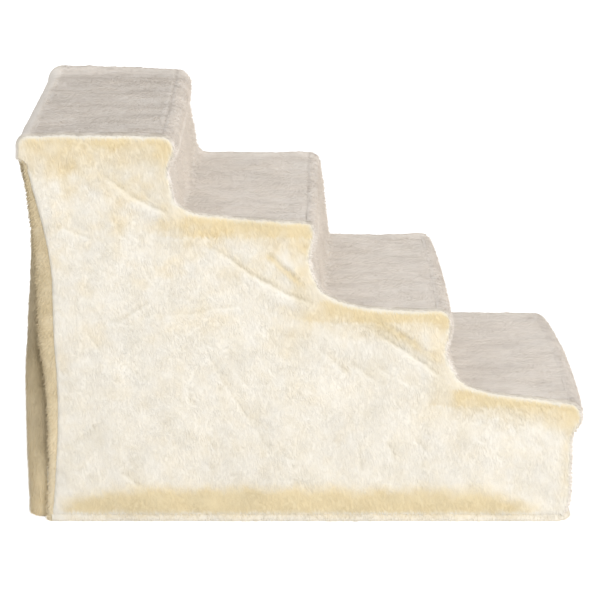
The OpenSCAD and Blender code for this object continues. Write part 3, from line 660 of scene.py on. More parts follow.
def riser_section(i, y):
    """The cover's outside from the seam on tread i, down the riser, to the seam on the next tread."""
    cover = bpy.context.scene.stair_cover
    share = width_share(y)
    nose, top = NOSE_X[i] + at_width(NOSE_FORWARD[i], share), TREAD_Z[i]
    seam = seam_x(i, y)
    rounder = FAR_ROUNDER * smooth((share - 0.7) / 0.3) if i == 1 else 0.0
    r = min(cover.nose_radius / MM + rounder, nose - seam - 1.0)
    foot_forward = at_width(FOOT_FORWARD[i], share)
    if i == 1:
        foot_x, foot_z, tuck = CLOTH_FOOT_X + foot_forward, CLOTH_FOOT_Z, NOSE_X[1] - CLOTH_FOOT_X
    else:
        foot_x, foot_z, tuck = NOSE_X[i] - 1.0 + foot_forward, TREAD_Z[i - 1], cover.tuck / MM
    neck = NOSE_X[i] + at_width(NECK_FORWARD[i], share) - tuck, top - LIP_H
    parts = [
        line((seam, top), (nose - r, top), ROWS_TOP),
        arc((nose - r, top - r), r, 90, 0, ROWS_NOSE),
        curve((nose, top - r), (nose, top - r - NOSE_DROP), (neck[0] + 1, neck[1] + NECK_RUN[i]), neck,
              ROWS_TUCK),
    ]
    if i == 1:
        end_x = foot_x - at_width(FRONT_TURN, share)
        parts += [
            line(neck, (foot_x, FRONT_TURN_Z), ROWS_RISER),
            curve((foot_x, FRONT_TURN_Z), (foot_x, FRONT_TURN_Z - 12), (end_x + 1.5, foot_z + 6),
                  (end_x, foot_z), ROWS_COVE),
            [[end_x, foot_z]],
        ]
    else:
        cove = mix(COVE_MIDDLE, COVE_NEAR[i], smooth(1.0 - (y + HALF_W) / COVE_NEAR_REACH))
        cove_w, cove_h = mix(cove, COVE_FAR[i], smooth(1.0 - (HALF_W - y) / COVE_FAR_REACH))
        cove_top, cove_end = (foot_x, foot_z + cove_h), (foot_x + cove_w, foot_z)
        next_seam = (seam_x(i - 1, y), foot_z)
        parts += [
            line(neck, cove_top, ROWS_RISER),
            curve(cove_top, (foot_x + 0.8, foot_z + COVE_HANDLE * cove_h),
                  (foot_x + COVE_HANDLE * cove_w, foot_z + 0.6), cove_end, ROWS_COVE),
            line(cove_end, next_seam, ROWS_TREAD),
            [next_seam],
        ]
    return np.concatenate(parts)


def back_section(_y=0.0):
    """The cover's outside from the flap's seam, over the back edge, to the seam on the top tread.

    It is the same all the way across.
    """
    r = bpy.context.scene.stair_cover.nose_radius / MM
    top = TREAD_Z[4]
    return np.concatenate([
        line((BACK_X, HINGE_Z), (BACK_X, top - r), 6),
        arc((BACK_X + r, top - r), r, 180, 90, ROWS_NOSE),
        line((BACK_X + r, top), (BACK_SEAM_X, top), 3),
        [[BACK_SEAM_X, top]],
    ])


def top_section(y):
    """The cover's outside between the two seams on the top tread."""
    end = (seam_x(4, y), TREAD_Z[4])
    return np.concatenate([line((BACK_SEAM_X, TREAD_Z[4]), end, ROWS_TREAD), [end]])


# How far the side panel's rear edge is drawn in, by height in mm, as the hem pulls it forward
REAR_PULL = (
    (0, 29), (17, 31), (59, 35), (86, 37), (119, 39.5), (162, 41), (206, 40.5), (240, 38.5), (292, 38.3),
    (326, 38.6), (361, 35.4), (395, 29), (421, 23), (446, 17), (462, 14), (474, 11), (HINGE_Z, 8))
# How far back from that edge the turned hem shows, by height in mm
REAR_HEM_WIDTH = (
    (0, 6), (59, 7.5), (86, 8.5), (119, 11), (162, 13), (206, 15.5), (232, 17), (292, 18.5), (326, 19),
    (361, 17), (395, 13), (421, 9), (456, 5), (HINGE_Z, 3.5))
# How much painted shade that hem takes, by height in mm, as it turns away from the light
HEM_SHADE = ((0, 0.0), (100, 0.0), (150, 0.06), (229, 0.2), (322, 0.25), (389, 0.27), (HINGE_Z, 0.3))


def rear_edge_x(z):
    """The side panel's rear edge at a height."""
    return BACK_X + table_value(z, REAR_PULL)


# Distance between the points of a side panel's outline
OUTLINE_SPACING = 3.2


def side_outline(near):
    """The side panel's outline where it meets the treads, counter-clockwise from the rear of its foot."""
    y, lift = (-HALF_W, NEAR_LIFT) if near else (HALF_W, FAR_LIFT)
    lowest, *higher = (lifted(riser_section(i, y), lift)[::-1] for i in STEPS)
    top = lifted(top_section(y), lift)[::-1]
    back = lifted(back_section(), lift)[:-1][::-1]
    heights = np.linspace(HINGE_Z, CLOTH_FOOT_Z, 90)
    rear = np.column_stack((rear_edge_x(heights), heights))
    foot = line(rear[-1], lowest[0], 150)[1:]
    steps = [section[1:] for section in higher]
    return evenly(np.concatenate([foot, lowest, *steps, top[1:], back, rear[1:]]), OUTLINE_SPACING)


def evenly(outline, spacing):
    """A closed outline with even spacing."""
    closed = np.vstack((outline, outline[:1]))
    lengths = distances(closed)
    at = np.linspace(0.0, lengths[-1], int(lengths[-1] / spacing), endpoint=False)
    return np.column_stack([np.interp(at, lengths, closed[:, k]) for k in (0, 1)])


def inset(outline, distance):
    """A closed counter-clockwise outline moved inwards."""
    before, after = np.roll(outline, 1, axis=0), np.roll(outline, -1, axis=0)
    toward = after - before
    toward /= np.linalg.norm(toward, axis=1)[:, None]
    return outline + distance * np.column_stack((-toward[:, 1], toward[:, 0]))


# Main folds of a side panel, in mm as (route, depth, width, gold). The deepest run down and forward to
# the feet of the risers, where the cover is held.
SIDE_FOLDS = (
    (((-272, 482), (-245, 461), (-218, 438), (-187, 421), (-160, 410)), 0.85, 0.8, 0.2),
    (((-140, 386), (-97, 358), (-66, 335), (-22, 309), (22, 291)), 1.05, 0.9, 0.4),
    (((14, 311), (3, 319), (-22, 341), (-47, 364)), 0.75, 0.7, 1.9),
    (((188, 215), (160, 231), (130, 251), (86, 282)), 0.55, 1.0, 2.1),
    (((50, 282), (66, 274), (104, 249), (142, 223), (184, 193)), 0.9, 0.8, 0.2),
    (((-318, 397), (-290, 390), (-262, 379)), 0.5, 0.7, 0.3),
    (((-243, 265), (-221, 278), (-190, 299)), 0.6, 0.65, 0.3),
    (((-193, 278), (-142, 282), (-73, 294)), 0.5, 0.7, 0.2),
    (((-137, 278), (-124, 239), (-108, 203), (-80, 156), (-42, 98)), 0.5, 0.6, 0.1),
    (((12, 243), (34, 223), (63, 198)), 0.5, 0.8, 0.4),
    (((50, 226), (95, 190)), 0.5, 0.8, 0.2),
    (((-278, 263), (-255, 230)), 0.5, 0.65, 0.2),
    (((-229, 219), (-201, 189)), 0.45, 0.65, 0.1),
    (((-240, 149), (-279, 118), (-311, 98)), 0.45, 1.2, 0.1),
    (((-240, 71), (-226, 63), (-208, 46)), 0.8, 0.65, 0.2),
    (((70, 118), (77, 63)), 0.65, 0.65, 0.1),
    (((104, 113), (120, 88)), 0.6, 0.65, 0.1),
    (((137, 125), (160, 94)), 0.5, 0.65, 0.1),
    (((-60, 300), (-48, 262), (-20, 215)), 0.35, 0.9, 0.2),
)


# Short creases: how many, how far inside the panel, half of each one's length, the mean and spread of
# its turn in radians, its bend as a share of that half, and its depth, width and gold
CREASE_COUNT, CREASE_INSET = 100, 24.0
CREASE_HALF, CREASE_TURN, CREASE_BEND = (4.0, 16.0), (-1.1, 0.55), 0.25
CREASE_DEPTH, CREASE_WIDTH, CREASE_GOLD = (0.15, 0.5), 0.45, 0.2


def short_creases(outline, seed):
    """Short creases where the pile parts, as more folds. Most run down and forward."""
    rng = np.random.default_rng(seed)
    middles = rng.uniform(outline.min(axis=0), outline.max(axis=0), (4 * CREASE_COUNT, 2))
    middles = middles[inside(middles, inset(outline, CREASE_INSET))][:CREASE_COUNT]
    creases = []
    for middle in middles:
        half = rng.uniform(*CREASE_HALF)
        turn, bend = rng.normal(*CREASE_TURN), rng.uniform(-CREASE_BEND, CREASE_BEND)
        reach = half * np.array((math.cos(turn), math.sin(turn)))
        aside = half * bend * np.array((-math.sin(turn), math.cos(turn)))
        route = (middle - reach, middle + aside, middle + reach)
        creases.append((route, rng.uniform(*CREASE_DEPTH), CREASE_WIDTH, CREASE_GOLD))
    return creases


# A side panel's soft dents, its small ones, its golden patches, its crumples and the wander of its
# golden bands, in layers of noise
SIDE_SWELLS = ((1.3, 62.0, 0), (0.9, 27.0, 1))
SIDE_CRUSH = ((0.24, 12.0, 2), (0.07, 6.5, 3))
SIDE_MOTTLE = ((1.2, 34.0, 13), (0.65, 15.0, 14), (0.15, 8.0, 15))
SIDE_WANDER = ((6.0, 30.0, 11), (4.0, 11.0, 12))
# How far the panel sinks in behind its seams
SIDE_SINK = 2.2
# How far off a fold's route its valley, ridge and shoulder lie, and how wide they are, in its widths
VALLEY, RIDGE, SHOULDER = (0.0, 2.9), (-9.0, 7.0), (10.0, 9.0)
# How far off its route a fold ends
FOLD_REACH = 52.0


def side_relief(points, folds, gap, seed):
    """How far a side panel stands out at [x, z] points, how golden it is and how much painted shade it takes.
    """
    cover = bpy.context.scene.stair_cover
    crush_h, fold_h = cover.crush_height / MM, cover.fold_height / MM
    spots = stacked(points[:, 0], 40.0 * seed, points[:, 1])
    out = -SIDE_SINK * smooth((gap - 18.0) / 30.0)
    out += smooth((gap - 4.0) / 22.0) * crush_h * layered(spots, seed, SIDE_SWELLS)
    out += smooth(gap / 8.0) * crush_h * layered(spots, seed, SIDE_CRUSH)
    upper = smooth((points[:, 1] - 120.0) / 300.0)
    tone = mix(0.07, 0.38, upper) * np.clip(layered(spots, seed, SIDE_MOTTLE) + 0.2, 0.0, 1.3)
    # Painted shade in soft random patches over the panel
    crumple = noise(spots / (1.0, 1.0, 1.25), 22.0, seed + 16) + 0.5 * noise(spots, 10.0, seed + 17)
    parting = 0.12 * np.clip(crumple + 0.15, 0.0, 1.2)
    ragged = noise(spots, 14.0, seed + 7)
    for route, depth, width, gold in folds:
        off, along, side = off_polyline(points, route)
        ends = smooth(along / 0.45) * smooth((1.0 - along) / 0.15)
        fade = depth * ends * smooth((FOLD_REACH - off) / 26.0)
        wander = off * side + 1.6 * width * ragged
        valley, ridge, shoulder = (
            fade * bump(wander - middle * width, spread * width)
            for middle, spread in (VALLEY, RIDGE, SHOULDER))
        # Each fold: painted shade in its valley and on its shoulder, lighter on its ridge, and painted warm
        # gold beside it
        out += fold_h * (0.17 * ridge - 0.5 * valley - 0.26 * shoulder)
        parting += 0.34 * valley + 0.1 * shoulder - 0.1 * ridge
        tone += 0.45 * gold * fade * bump(wander - 3.0, 6.0 * width) - 0.1 * ridge
    return out, tone, np.clip(parting, 0.0, 1.0), spots


# How much painted warm shade, in gold, the pile takes below the edge of each tread, and how far down
BAND_STRENGTH = {4: 1.0, 3: 0.8, 2: 0.84, 1: 1.1}
BAND_DEPTH = {4: 66.0, 3: 48.0, 2: 48.0, 1: 48.0}


def golden_bands(points, spots, seed):
    """Painted warm shade on a side panel, in gold where its pile bends open: below the tread edges, by the
    coves and along the floor.
    """
    wander = layered(spots, seed, SIDE_WANDER)
    x, z = points[:, 0], points[:, 1]
    tone = np.zeros(len(points))
    for i in STEPS:
        back = BACK_X if i == 4 else NOSE_X[i + 1] - 2.0
        across = smooth((x - back) / 18.0) * smooth((NOSE_X[i] + 4.0 - x) / 6.0)
        below = TREAD_Z[i] + table_value(x - back, NEAR_LIFT[i]) - z
        reach = BAND_DEPTH[i] + 2.2 * wander
        fade = smooth((below - 3.5) / 5.0) * np.clip((reach - below) / reach, 0.0, 1.0) ** 1.1
        tone += BAND_STRENGTH[i] * across * fade
        tone += 0.3 * smooth((x - NOSE_X[i] + 34.0 + wander) / 24.0) * (below > 0) * (below < 130.0)
        if i > 1:
            centre = np.array((NOSE_X[i] + 2.0, TREAD_Z[i - 1] - 8.0))
            off = np.linalg.norm((points - centre) / (1.3, 1.0), axis=1) + wander
            tone += 0.08 * smooth((46.0 - off) / 30.0)
    height = z + 0.8 * wander
    from_rear, to_front = x - rear_edge_x(z), HEM_FRONT_X - x
    reach = 40.0 + 18.0 * smooth(from_rear / 90.0) - 36.0 * smooth((115.0 - to_front) / 100.0)
    strength = (1.1 + 0.4 * bump(from_rear - 230.0, 200.0)) * smooth((from_rear - 4.0) / 22.0)
    strength *= mix(0.35, 1.0, smooth((to_front - 8.0) / 60.0))
    tone += strength * smooth((height - 3.0) / 14.0) * smooth((reach - height) / 32.0)
    return tone


# A side panel's points: rows along its border at these distances, and a loose lattice inside them
RING_INSETS, LATTICE_INSET = (3.6, 5.4, 7.8), 9.5
LATTICE_SPACING, LATTICE_JITTER = 2.8, 0.5
# How far a cloth's border is tucked in behind its neighbour
TUCK_IN, REAR_TUCK_IN = 2.5, 1.2


def edge_sizes():
    """The radius of the cover's edges, and how far in from each face their seam lies."""
    r = bpy.context.scene.stair_cover.edge_radius / MM
    return r, r * (1.0 - math.sqrt(0.5))


def panel_triangles(outline, border, seed):
    """The points and triangles that fill a side panel's border."""
    low_x, high_x = outline[:, 0].min(), outline[:, 0].max()
    rows = np.arange(0.0, TREAD_Z[4], LATTICE_SPACING * math.sqrt(0.75))
    columns = np.arange(low_x, high_x, LATTICE_SPACING)
    lattice = np.array([(x + (k % 2) * LATTICE_SPACING / 2, z) for k, z in enumerate(rows) for x in columns])
    rng = np.random.default_rng(seed)
    lattice += rng.uniform(-LATTICE_JITTER, LATTICE_JITTER, lattice.shape)
    lattice = lattice[inside(lattice, inset(outline, LATTICE_INSET))]
    points = np.vstack([border] + [inset(outline, distance) for distance in RING_INSETS] + [lattice])
    edges = [(k, (k + 1) % len(border)) for k in range(len(border))]
    found = delaunay_2d_cdt([Vector(p) for p in points], edges, [], 0, 1e-6, False)
    flat = np.array([(v.x, v.y) for v in found[0]])
    triangles = np.array(found[2])
    return flat, triangles[inside(flat[triangles].mean(axis=1), border)]


def side_cloth(name, near, seed):
    """One side panel: cut to the stairs, rounded into its seams and hanging in shallow folds."""
    r, seam = edge_sizes()
    outline = side_outline(near)
    flat, triangles = panel_triangles(outline, inset(outline, seam), seed)
    x, z = flat[:, 0], flat[:, 1]
    gap = off_polyline(flat, np.vstack((outline, outline[:1])))[0]
    out, tone, parting, spots = side_relief(flat, list(SIDE_FOLDS) + short_creases(outline, seed), gap, seed)
    at_rear = (x < rear_edge_x(z) + 12.0) & (z < HINGE_Z - 12.0)
    rounding = np.where(z > BASE_HEM_H + r, rounded(gap, r), 0.0) * np.where(at_rear, 0.3, 1.0)
    tuck_in = np.where(gap < seam + 0.4, np.where(at_rear, REAR_TUCK_IN, TUCK_IN), 0.0)
    depth = HALF_W - rounding - tuck_in + out
    piece = link_mesh(name, stacked(x, -depth if near else depth, z),
                      (triangles if near else triangles[:, ::-1]).tolist())
    # The rims along the seams and along the floor take the greyer edge colour in place of the gold, painted
    # to temper their lit highlight
    ragged = noise(spots, 12.0, seed + 4)
    reach = 7.2 + 2.6 * ragged + 1.5 * noise(spots, 5.0, seed + 18)
    rim = 0.85 * smooth((reach - gap) / 6.0) * smooth((z - 20.0) / 10.0) * smooth((x - BACK_X - 9.0) / 10.0)
    low_rim = 0.75 * smooth((18.0 - z + 2.0 * ragged) / 14.0)
    lighter = 0.25 * rim + 0.9 * low_rim
    rim = np.maximum(rim, low_rim)
    bands = golden_bands(flat, spots, seed) * (0.9 + 0.22 * noise(spots, 19.0, seed + 18))
    # Painted shade over the golden bands, and painted shade on the rims
    parting += (0.16 + 0.06 * smooth((60.0 - z) / 30.0)) * np.clip(bands, 0.0, 1.0)
    rim_shade_paint = np.clip(0.3 + 0.16 * noise(spots, 9.0, seed + 19), 0.0, 0.5)
    store(piece, tone=np.clip(tone + bands, 0.0, 1.0) * (1.0 - rim) - lighter,
          parting=mix(parting, rim_shade_paint, rim), along=PRESSED_ALONG)
    return piece


def inside(points, outline):
    """Which points lie inside a closed outline."""
    within = np.zeros(len(points), bool)
    for a, b in zip(outline, np.roll(outline, -1, axis=0)):
        crosses = (a[1] > points[:, 1]) != (b[1] > points[:, 1])
        if not crosses.any():
            continue
        at = a[0] + (points[crosses, 1] - a[1]) * (b[0] - a[0]) / (b[1] - a[1])
        within[crosses] ^= points[crosses, 0] < at
    return within


# A strip's columns across the stairs: the ones along its middle, and how far in from each end the
# others lie, after two at the seam
STRIP_COLUMNS, STRIP_EDGE = 98, (3.0, 4.2, 5.6)
# Its soft dents and the ones that lie along the brushing, in layers of noise
STRIP_DENTS = ((0.8, 70.0, 0), (0.1, 4.5, 3))
STRIP_STREAKS = ((0.45, 17.0, 1), (0.18, 8.0, 2))
STRIP_MARKS = ((0.16, 30.0, 9), (0.14, 11.0, 10))
# How far in from the near and far ends the side panels lift it
NEAR_LIFT_REACH, FAR_LIFT_REACH = 34.0, 24.0


def strip_cloth(name, section_at, seed, seams, shades):
    """A strip of the cover across the stairs, from its section at each place across.

    seams is how deep the seams at its two ends show, and shades how much painted shade its pile takes
    at its start and further on.
    """
    crush_h = bpy.context.scene.stair_cover.crush_height / MM
    r, seam = edge_sizes()
    rim = HALF_W - np.array([seam - 0.2, seam, *STRIP_EDGE, r])
    inner = np.linspace(-HALF_W + r + 2.0, HALF_W - r - 2.0, STRIP_COLUMNS)
    across = np.concatenate((-rim, inner, rim[::-1]))
    edge_gap = HALF_W - np.abs(across)
    middle = section_at(0.0)
    toward = directions(middle)
    normal = np.column_stack((-toward[:, 1], toward[:, 0]))
    run = distances(middle)
    place = np.stack([section_at(y) for y in across], axis=1)
    near, far = section_at(-HALF_W), section_at(HALF_W)
    for raised, reach in ((lifted(near, NEAR_LIFT) - near, (across + HALF_W) / NEAR_LIFT_REACH),
                          (lifted(far, FAR_LIFT) - far, (HALF_W - across) / FAR_LIFT_REACH)):
        place += raised[:, None, :] * smooth(1.0 - reach)[None, :, None]
    drop = rounded(edge_gap, r) + np.where(edge_gap < seam - 0.1, TUCK_IN, 0.0)
    shape = (len(middle), len(across))
    spots = stacked(place[..., 0], across, place[..., 1])
    lying = spots / (3.2, 1.0, 1.0)
    relief = crush_h * (layered(spots, seed, STRIP_DENTS) + layered(lying, seed, STRIP_STREAKS))
    relief = relief.reshape(shape) * smooth(edge_gap / 12.0)
    fade = 0.55 + 0.45 * noise(stacked(across, 0.0, 0.0), 60.0, seed + 6)
    painted_dark = np.zeros(shape)
    # Each seam: painted shade in its valley, and a painted highlight on the lip beside it
    for depth, gap, lip in zip(seams, (run, run[-1] - run), (0.15, 0.45)):
        relief += depth * fade * (lip * bump(gap - 4.5, 2.8) - 0.45 * bump(gap, 2.2))[:, None]
        painted_dark += depth * fade * (0.34 * bump(gap, 1.8) - 0.6 * lip * bump(gap - 4.0, 2.4))[:, None]
    place = place + normal[:, None, :] * (relief - drop)[..., None]
    piece = link_mesh(name, stacked(place[..., 0], across, place[..., 1]), grid_faces(*shape, flip=True))
    # Rims at the strip's ends take the edge colour, wider on faces that look up, painted to temper their lit
    # highlight, with a little painted shade
    level = np.abs(normal[:, 1]).repeat(len(across))
    edge_reach = mix(3.0, 8.0, level) + 4.0 * noise(spots, 12.0, seed + 7)
    edge_tone = smooth((edge_reach - np.tile(edge_gap, len(middle))) / 5.0)
    tone = 0.02 * noise(lying, 26.0, seed + 5) - 0.6 * np.clip(noise(lying, 7.0, seed + 8) - 0.3, 0.0, 1.0)
    # Painted shade from the strip's start to further on
    dark = mix(*shades, smooth(run / SHADE_LENGTH)).repeat(len(across))
    marks = np.clip(layered(lying, seed, STRIP_MARKS), -0.1, 0.3)
    store(piece, tone=np.clip(tone - edge_tone, -1.0, 1.0), along=PRESSED_ALONG,
          parting=np.clip(dark + marks + painted_dark.ravel() + 0.2 * edge_tone, 0.0, 1.0))
    return piece


# The rear hem's rows of points, and the points of its outer face, of its roll and of its inner face
HEM_ROWS, HEM_OUTER, HEM_ROLL, HEM_INNER = 138, 12, 9, 5
# How far it reaches in under the side panel
HEM_UNDERLAP = 4.5
# Its dents, in layers of noise
HEM_DENTS = ((0.9, 34.0, 0), (0.4, 12.0, 1))


def rear_hem_cloth(name, side, seed):
    """The turned strip at a side panel's rear edge: a J in plan, wide where the flap pulls it back."""
    inner_y = abs(low("rear_hem_far")[1])
    heights = np.concatenate((np.linspace(HINGE_Z, 0.8, HEM_ROWS), [0.0]))
    rows = []
    for z in heights:
        front, reach = rear_edge_x(z), table_value(z, REAR_HEM_WIDTH) + 1.0
        turn = min(4.5, reach * 0.45)
        back, end = front + 1.0 - reach, front + HEM_UNDERLAP
        under = 0.4 + 2.2 * smooth((z - 9.0) / 8.0)
        edge = (back + 0.4, -HALF_W + 8.5)
        outer = curve((end, -HALF_W + under), (front - 0.2 * reach, -HALF_W + 0.85 * under),
                      (back + 0.3 * reach, -HALF_W + 4.5), edge, HEM_OUTER)
        roll = curve(edge, (back - 0.4, -HALF_W + 10.5), (back, -inner_y), (back + turn, -inner_y), HEM_ROLL)
        inner = line((back + turn, -inner_y), (end, -inner_y), HEM_INNER)
        rows.append(np.concatenate((outer, roll, inner, [[end, -inner_y]])))
    rows = np.array(rows)
    shape = rows.shape[:2]
    column = np.arange(shape[1])
    spots = stacked(rows[..., 0], rows[..., 1], heights[:, None])
    toward = directions(rows, axis=1)
    normal = np.stack((toward[..., 1], -toward[..., 0]), axis=-1)
    relief = layered(spots, seed, HEM_DENTS).reshape(shape)
    shown = (1.0 - smooth((column - 17.0) / 3.0)) * smooth(column / 4.0)
    rows = rows + normal * (relief * shown)[..., None]
    mottle = noise(spots, 20.0, seed + 2).reshape(shape)
    # Painted warm shade in gold on the hem, less of it low down, and painted shade where the hem folds in,
    # with random mottle
    low_down = smooth((190.0 - heights) / 150.0)[:, None]
    folded_in = smooth((column / HEM_OUTER - 0.6) / 0.4) * smooth((heights - 30.0) / 90.0)[:, None]
    dark = table_value(heights, HEM_SHADE)[:, None] + 0.1 * mottle + 0.25 * folded_in
    mirror = 1.0 if side == "near" else -1.0
    vertices = stacked(rows[..., 0], mirror * rows[..., 1], heights[:, None])
    piece = link_mesh(name, vertices, grid_faces(*shape, flip=side == "far"))
    store(piece, tone=np.clip(0.3 + 0.3 * mottle, 0.0, 1.0) * (1.0 - low_down),
          parting=np.clip(dark, 0.0, 1.0), along=PRESSED_ALONG)
    return piece, float(np.mean([distances(row)[-1] for row in rows]))


# The hem along the floor: its width, its corners' radius, and where its section's upper ends are
BASE_HEM_W, BASE_HEM_CORNER, BASE_HEM_TOP = 8.0, 16.0, BASE_HEM_H + 2.0
# Its swellings, in layers of noise
BASE_HEM_DENTS = ((0.8, 45.0, 0), (0.35, 14.0, 1))


def base_hem_cloth(name, seed):
    """The rolled hem along the floor: from the rear of the near side, round the front, to the far side."""
    corner, start = BASE_HEM_CORNER, HEM_START_X + 1.0
    edge, front = HALF_W - BASE_HEM_W / 2.0, HEM_FRONT_X - BASE_HEM_W / 2.0
    route = np.concatenate((
        line((start, -edge), (front - corner, -edge), 200),
        arc((front - corner, -edge + corner), corner, -90, 0, 12),
        line((front, -edge + corner), (front, edge - corner), 110),
        arc((front - corner, edge - corner), corner, 0, 90, 12),
        line((front - corner, edge), (start, edge), 200),
        [[start, edge]]))
    ahead = directions(route)
    outward = np.column_stack((ahead[:, 1], -ahead[:, 0]))
    section = np.concatenate((
        curve((2.2, BASE_HEM_TOP), (4.4, BASE_HEM_H), (5.2, 5.0), (4.8, 2.4), 8),
        curve((4.8, 2.4), (4.4, 0.0), (3.0, 0.0), (0.5, 0.0), 7),
        curve((0.5, 0.0), (-3.0, 0.0), (-4.0, 0.5), (-4.0, 3.0), 7),
        line((-4.0, 3.0), (-4.0, BASE_HEM_TOP), 5),
        [[-4.0, BASE_HEM_TOP]]))
    shape = (len(route), len(section))
    out, z = section[:, 0], section[:, 1]
    spots = stacked(route[:, :1], route[:, 1:], z)
    swell = layered(spots, seed, BASE_HEM_DENTS).reshape(shape)
    reach = out + swell * smooth((out + 1.0) / 3.0)
    place = route[:, None, :] + outward[:, None, :] * reach[..., None]
    piece = link_mesh(name, stacked(place[..., 0], place[..., 1], z), grid_faces(*shape))
    # Painted warm shade in gold at the hem's top, where the golden band above runs down into it
    golden = smooth((spots[:, 2] - 3.5) / 7.0) * smooth((front - 10.0 - spots[:, 0]) / 50.0)
    golden *= smooth((spots[:, 0] - HEM_START_X - 30.0) / 60.0)
    tone = 0.12 + 0.15 * noise(spots, 25.0, seed + 2) + 0.3 * golden
    store(piece, tone=np.clip(tone, 0.0, 1.0), along=PRESSED_ALONG)
    return piece, float(distances(section)[-1]), float(distances(route)[-1])


# How far forward the back flap hangs, by height in mm
FLAP_HANG = (
    (0, 0.0), (60, -0.5), (120, -1.0), (180, 0.0), (230, 3.0), (300, 9.0), (350, 12.5), (385, 14.0),
    (410, 13.0), (440, 8.5), (462, 3.5), (HINGE_Z, 0.0))
# Painted shade at its two corners, by height in mm, and how far it hangs below its model
FLAP_SHADE = (
    (0, 0.0), (10, 0.0), (35, 0.14), (83, 0.19), (149, 0.26), (229, 0.52), (322, 0.42), (HINGE_Z, 0.4))
FLAP_DROP = 4.0
# Radius of its vertical corners
FLAP_CORNER_R = 20.0
# Slope of the cut at the top of a return
RETURN_SLOPE = 2.2
# The flap's rows of points, and its dents in layers of noise
FLAP_ROWS = 138
FLAP_DENTS = ((1.0, 60.0, 1), (0.7, 26.0, 2), (0.22, 9.0, 3))
# How deep and how wide its drapes are
DRAPE_H, DRAPE_W = 2.6, 80.0
# How far above its lower end its hem shows, and how wide and high it swells there
FLAP_HEM_UP, FLAP_HEM_W, FLAP_HEM_H = 20.0, 2.0, 0.9


def flap_cloth(name, seed):
    """The back flap: a flat back, rounded vertical corners and two returns, bowed in below the seam."""
    r, half = FLAP_CORNER_R, FLAP_HALF_W
    back_to = BACK_X + r
    plan = np.concatenate((
        line((RETURN_X, -half), (back_to, -half), 6),
        arc((back_to, -half + r), r, 270, 180, 10),
        line((BACK_X, -half + r), (BACK_X, half - r), 96),
        arc((back_to, half - r), r, 180, 90, 10),
        line((back_to, half), (RETURN_X, half), 6),
        [[RETURN_X, half]]))
    shape = (FLAP_ROWS, len(plan))
    top = FLAP_TOP_Z - np.clip((plan[:, 0] - BACK_X - CLOTH_T) * RETURN_SLOPE, 0.0, None)
    low_z = max(FLAP_LOW_Z - FLAP_DROP, 0.8)
    z = low_z + (top - low_z) * np.linspace(1.0, 0.0, FLAP_ROWS)[:, None]
    hang = table_value(z, FLAP_HANG)
    give = smooth((RETURN_X - plan[:, 0]) / (RETURN_X - back_to))
    x = plan[:, 0] + hang * give
    y = np.broadcast_to(plan[:, 1], shape)
    spots = stacked(x, y, z)
    from_top = FLAP_TOP_Z - z
    free = smooth(from_top / 60.0) * smooth((half - np.abs(y)) / 40.0 + 0.15)
    drapes = DRAPE_H * noise(spots / (1.0, 1.0, 3.2), DRAPE_W, seed).reshape(shape)
    drapes *= smooth(from_top / 200.0)
    ahead = directions(plan)
    out = free * (drapes + layered(spots, seed, FLAP_DENTS).reshape(shape))
    hem = bump(z - low_z - FLAP_HEM_UP, FLAP_HEM_W)
    x = x - ahead[:, 1] * out + FLAP_HEM_H * hem * give
    y = y + ahead[:, 0] * out
    piece = link_mesh(name, stacked(x, y, z), grid_faces(*shape))
    # Painted warm shade in gold and painted shade only at the corners, which little light reaches, and more
    # painted shade next to the hem; the middle takes the greyer edge colour, which cancels the warm painted
    # shade of this fur there
    corner = smooth((np.abs(y) - half + 26.0) / 20.0).ravel()
    tone = np.clip(0.2 + 0.3 * noise(spots, 40.0, seed + 5) + 0.3 * hem.ravel(), 0.0, 1.0)
    tone = (tone + 0.4 * smooth((110.0 - z.ravel()) / 80.0)) * corner
    tone -= np.clip(0.8 + 0.3 * noise(spots, 36.0, seed + 7), 0.0, 1.0) * (1.0 - corner)
    under_hem = 0.35 * smooth((x - BACK_X - hang - 4.0) / 16.0) * smooth((z - 45.0) / 60.0)
    dark = corner * (table_value(z, FLAP_SHADE) + under_hem).ravel() + 0.08 * noise(spots, 30.0, seed + 6)
    store(piece, tone=tone, parting=np.clip(dark, 0.0, 1.0), along=PRESSED_ALONG)
    return piece, float(distances(plan)[-1]), FLAP_TOP_Z - low_z


# The pile, made by Geometry Nodes


# The named inputs of the pile's tree, with their kinds and defaults
PILE_INPUTS = (
    ("Spacing", "Float", 0.0025), ("Length", "Float", 0.005), ("Width", "Float", 0.0014),
    ("Lie", "Vector", (0.0, 0.0, -1.0)), ("Lean", "Float", 2.0), ("Ruffle", "Float", 0.3),
    ("Swirl", "Float", 0.6), ("Patch Size", "Float", 0.02), ("Seed", "Int", 1),
    ("Material", "Material", None))


def tree_with_inputs(name, inputs):
    """A Geometry Nodes tree with named inputs, and its two end nodes."""
    tree = bpy.data.node_groups.new(name, "GeometryNodeTree")
    tree.interface.new_socket("Geometry", in_out="INPUT", socket_type="NodeSocketGeometry")
    for label, kind, default in inputs:
        socket = tree.interface.new_socket(label, in_out="INPUT", socket_type=f"NodeSocket{kind}")
        if default is not None:
            socket.default_value = default
    tree.interface.new_socket("Geometry", in_out="OUTPUT", socket_type="NodeSocketGeometry")
    return tree, tree.nodes.new("NodeGroupInput"), tree.nodes.new("NodeGroupOutput")


# A tuft's root radius as a share of its width, its thickness as a share too, and its least and greatest size
TUFT_ROOT, TUFT_THICKNESS, TUFT_LEAST, TUFT_GREATEST = 0.58, 0.35, 0.65, 1.25


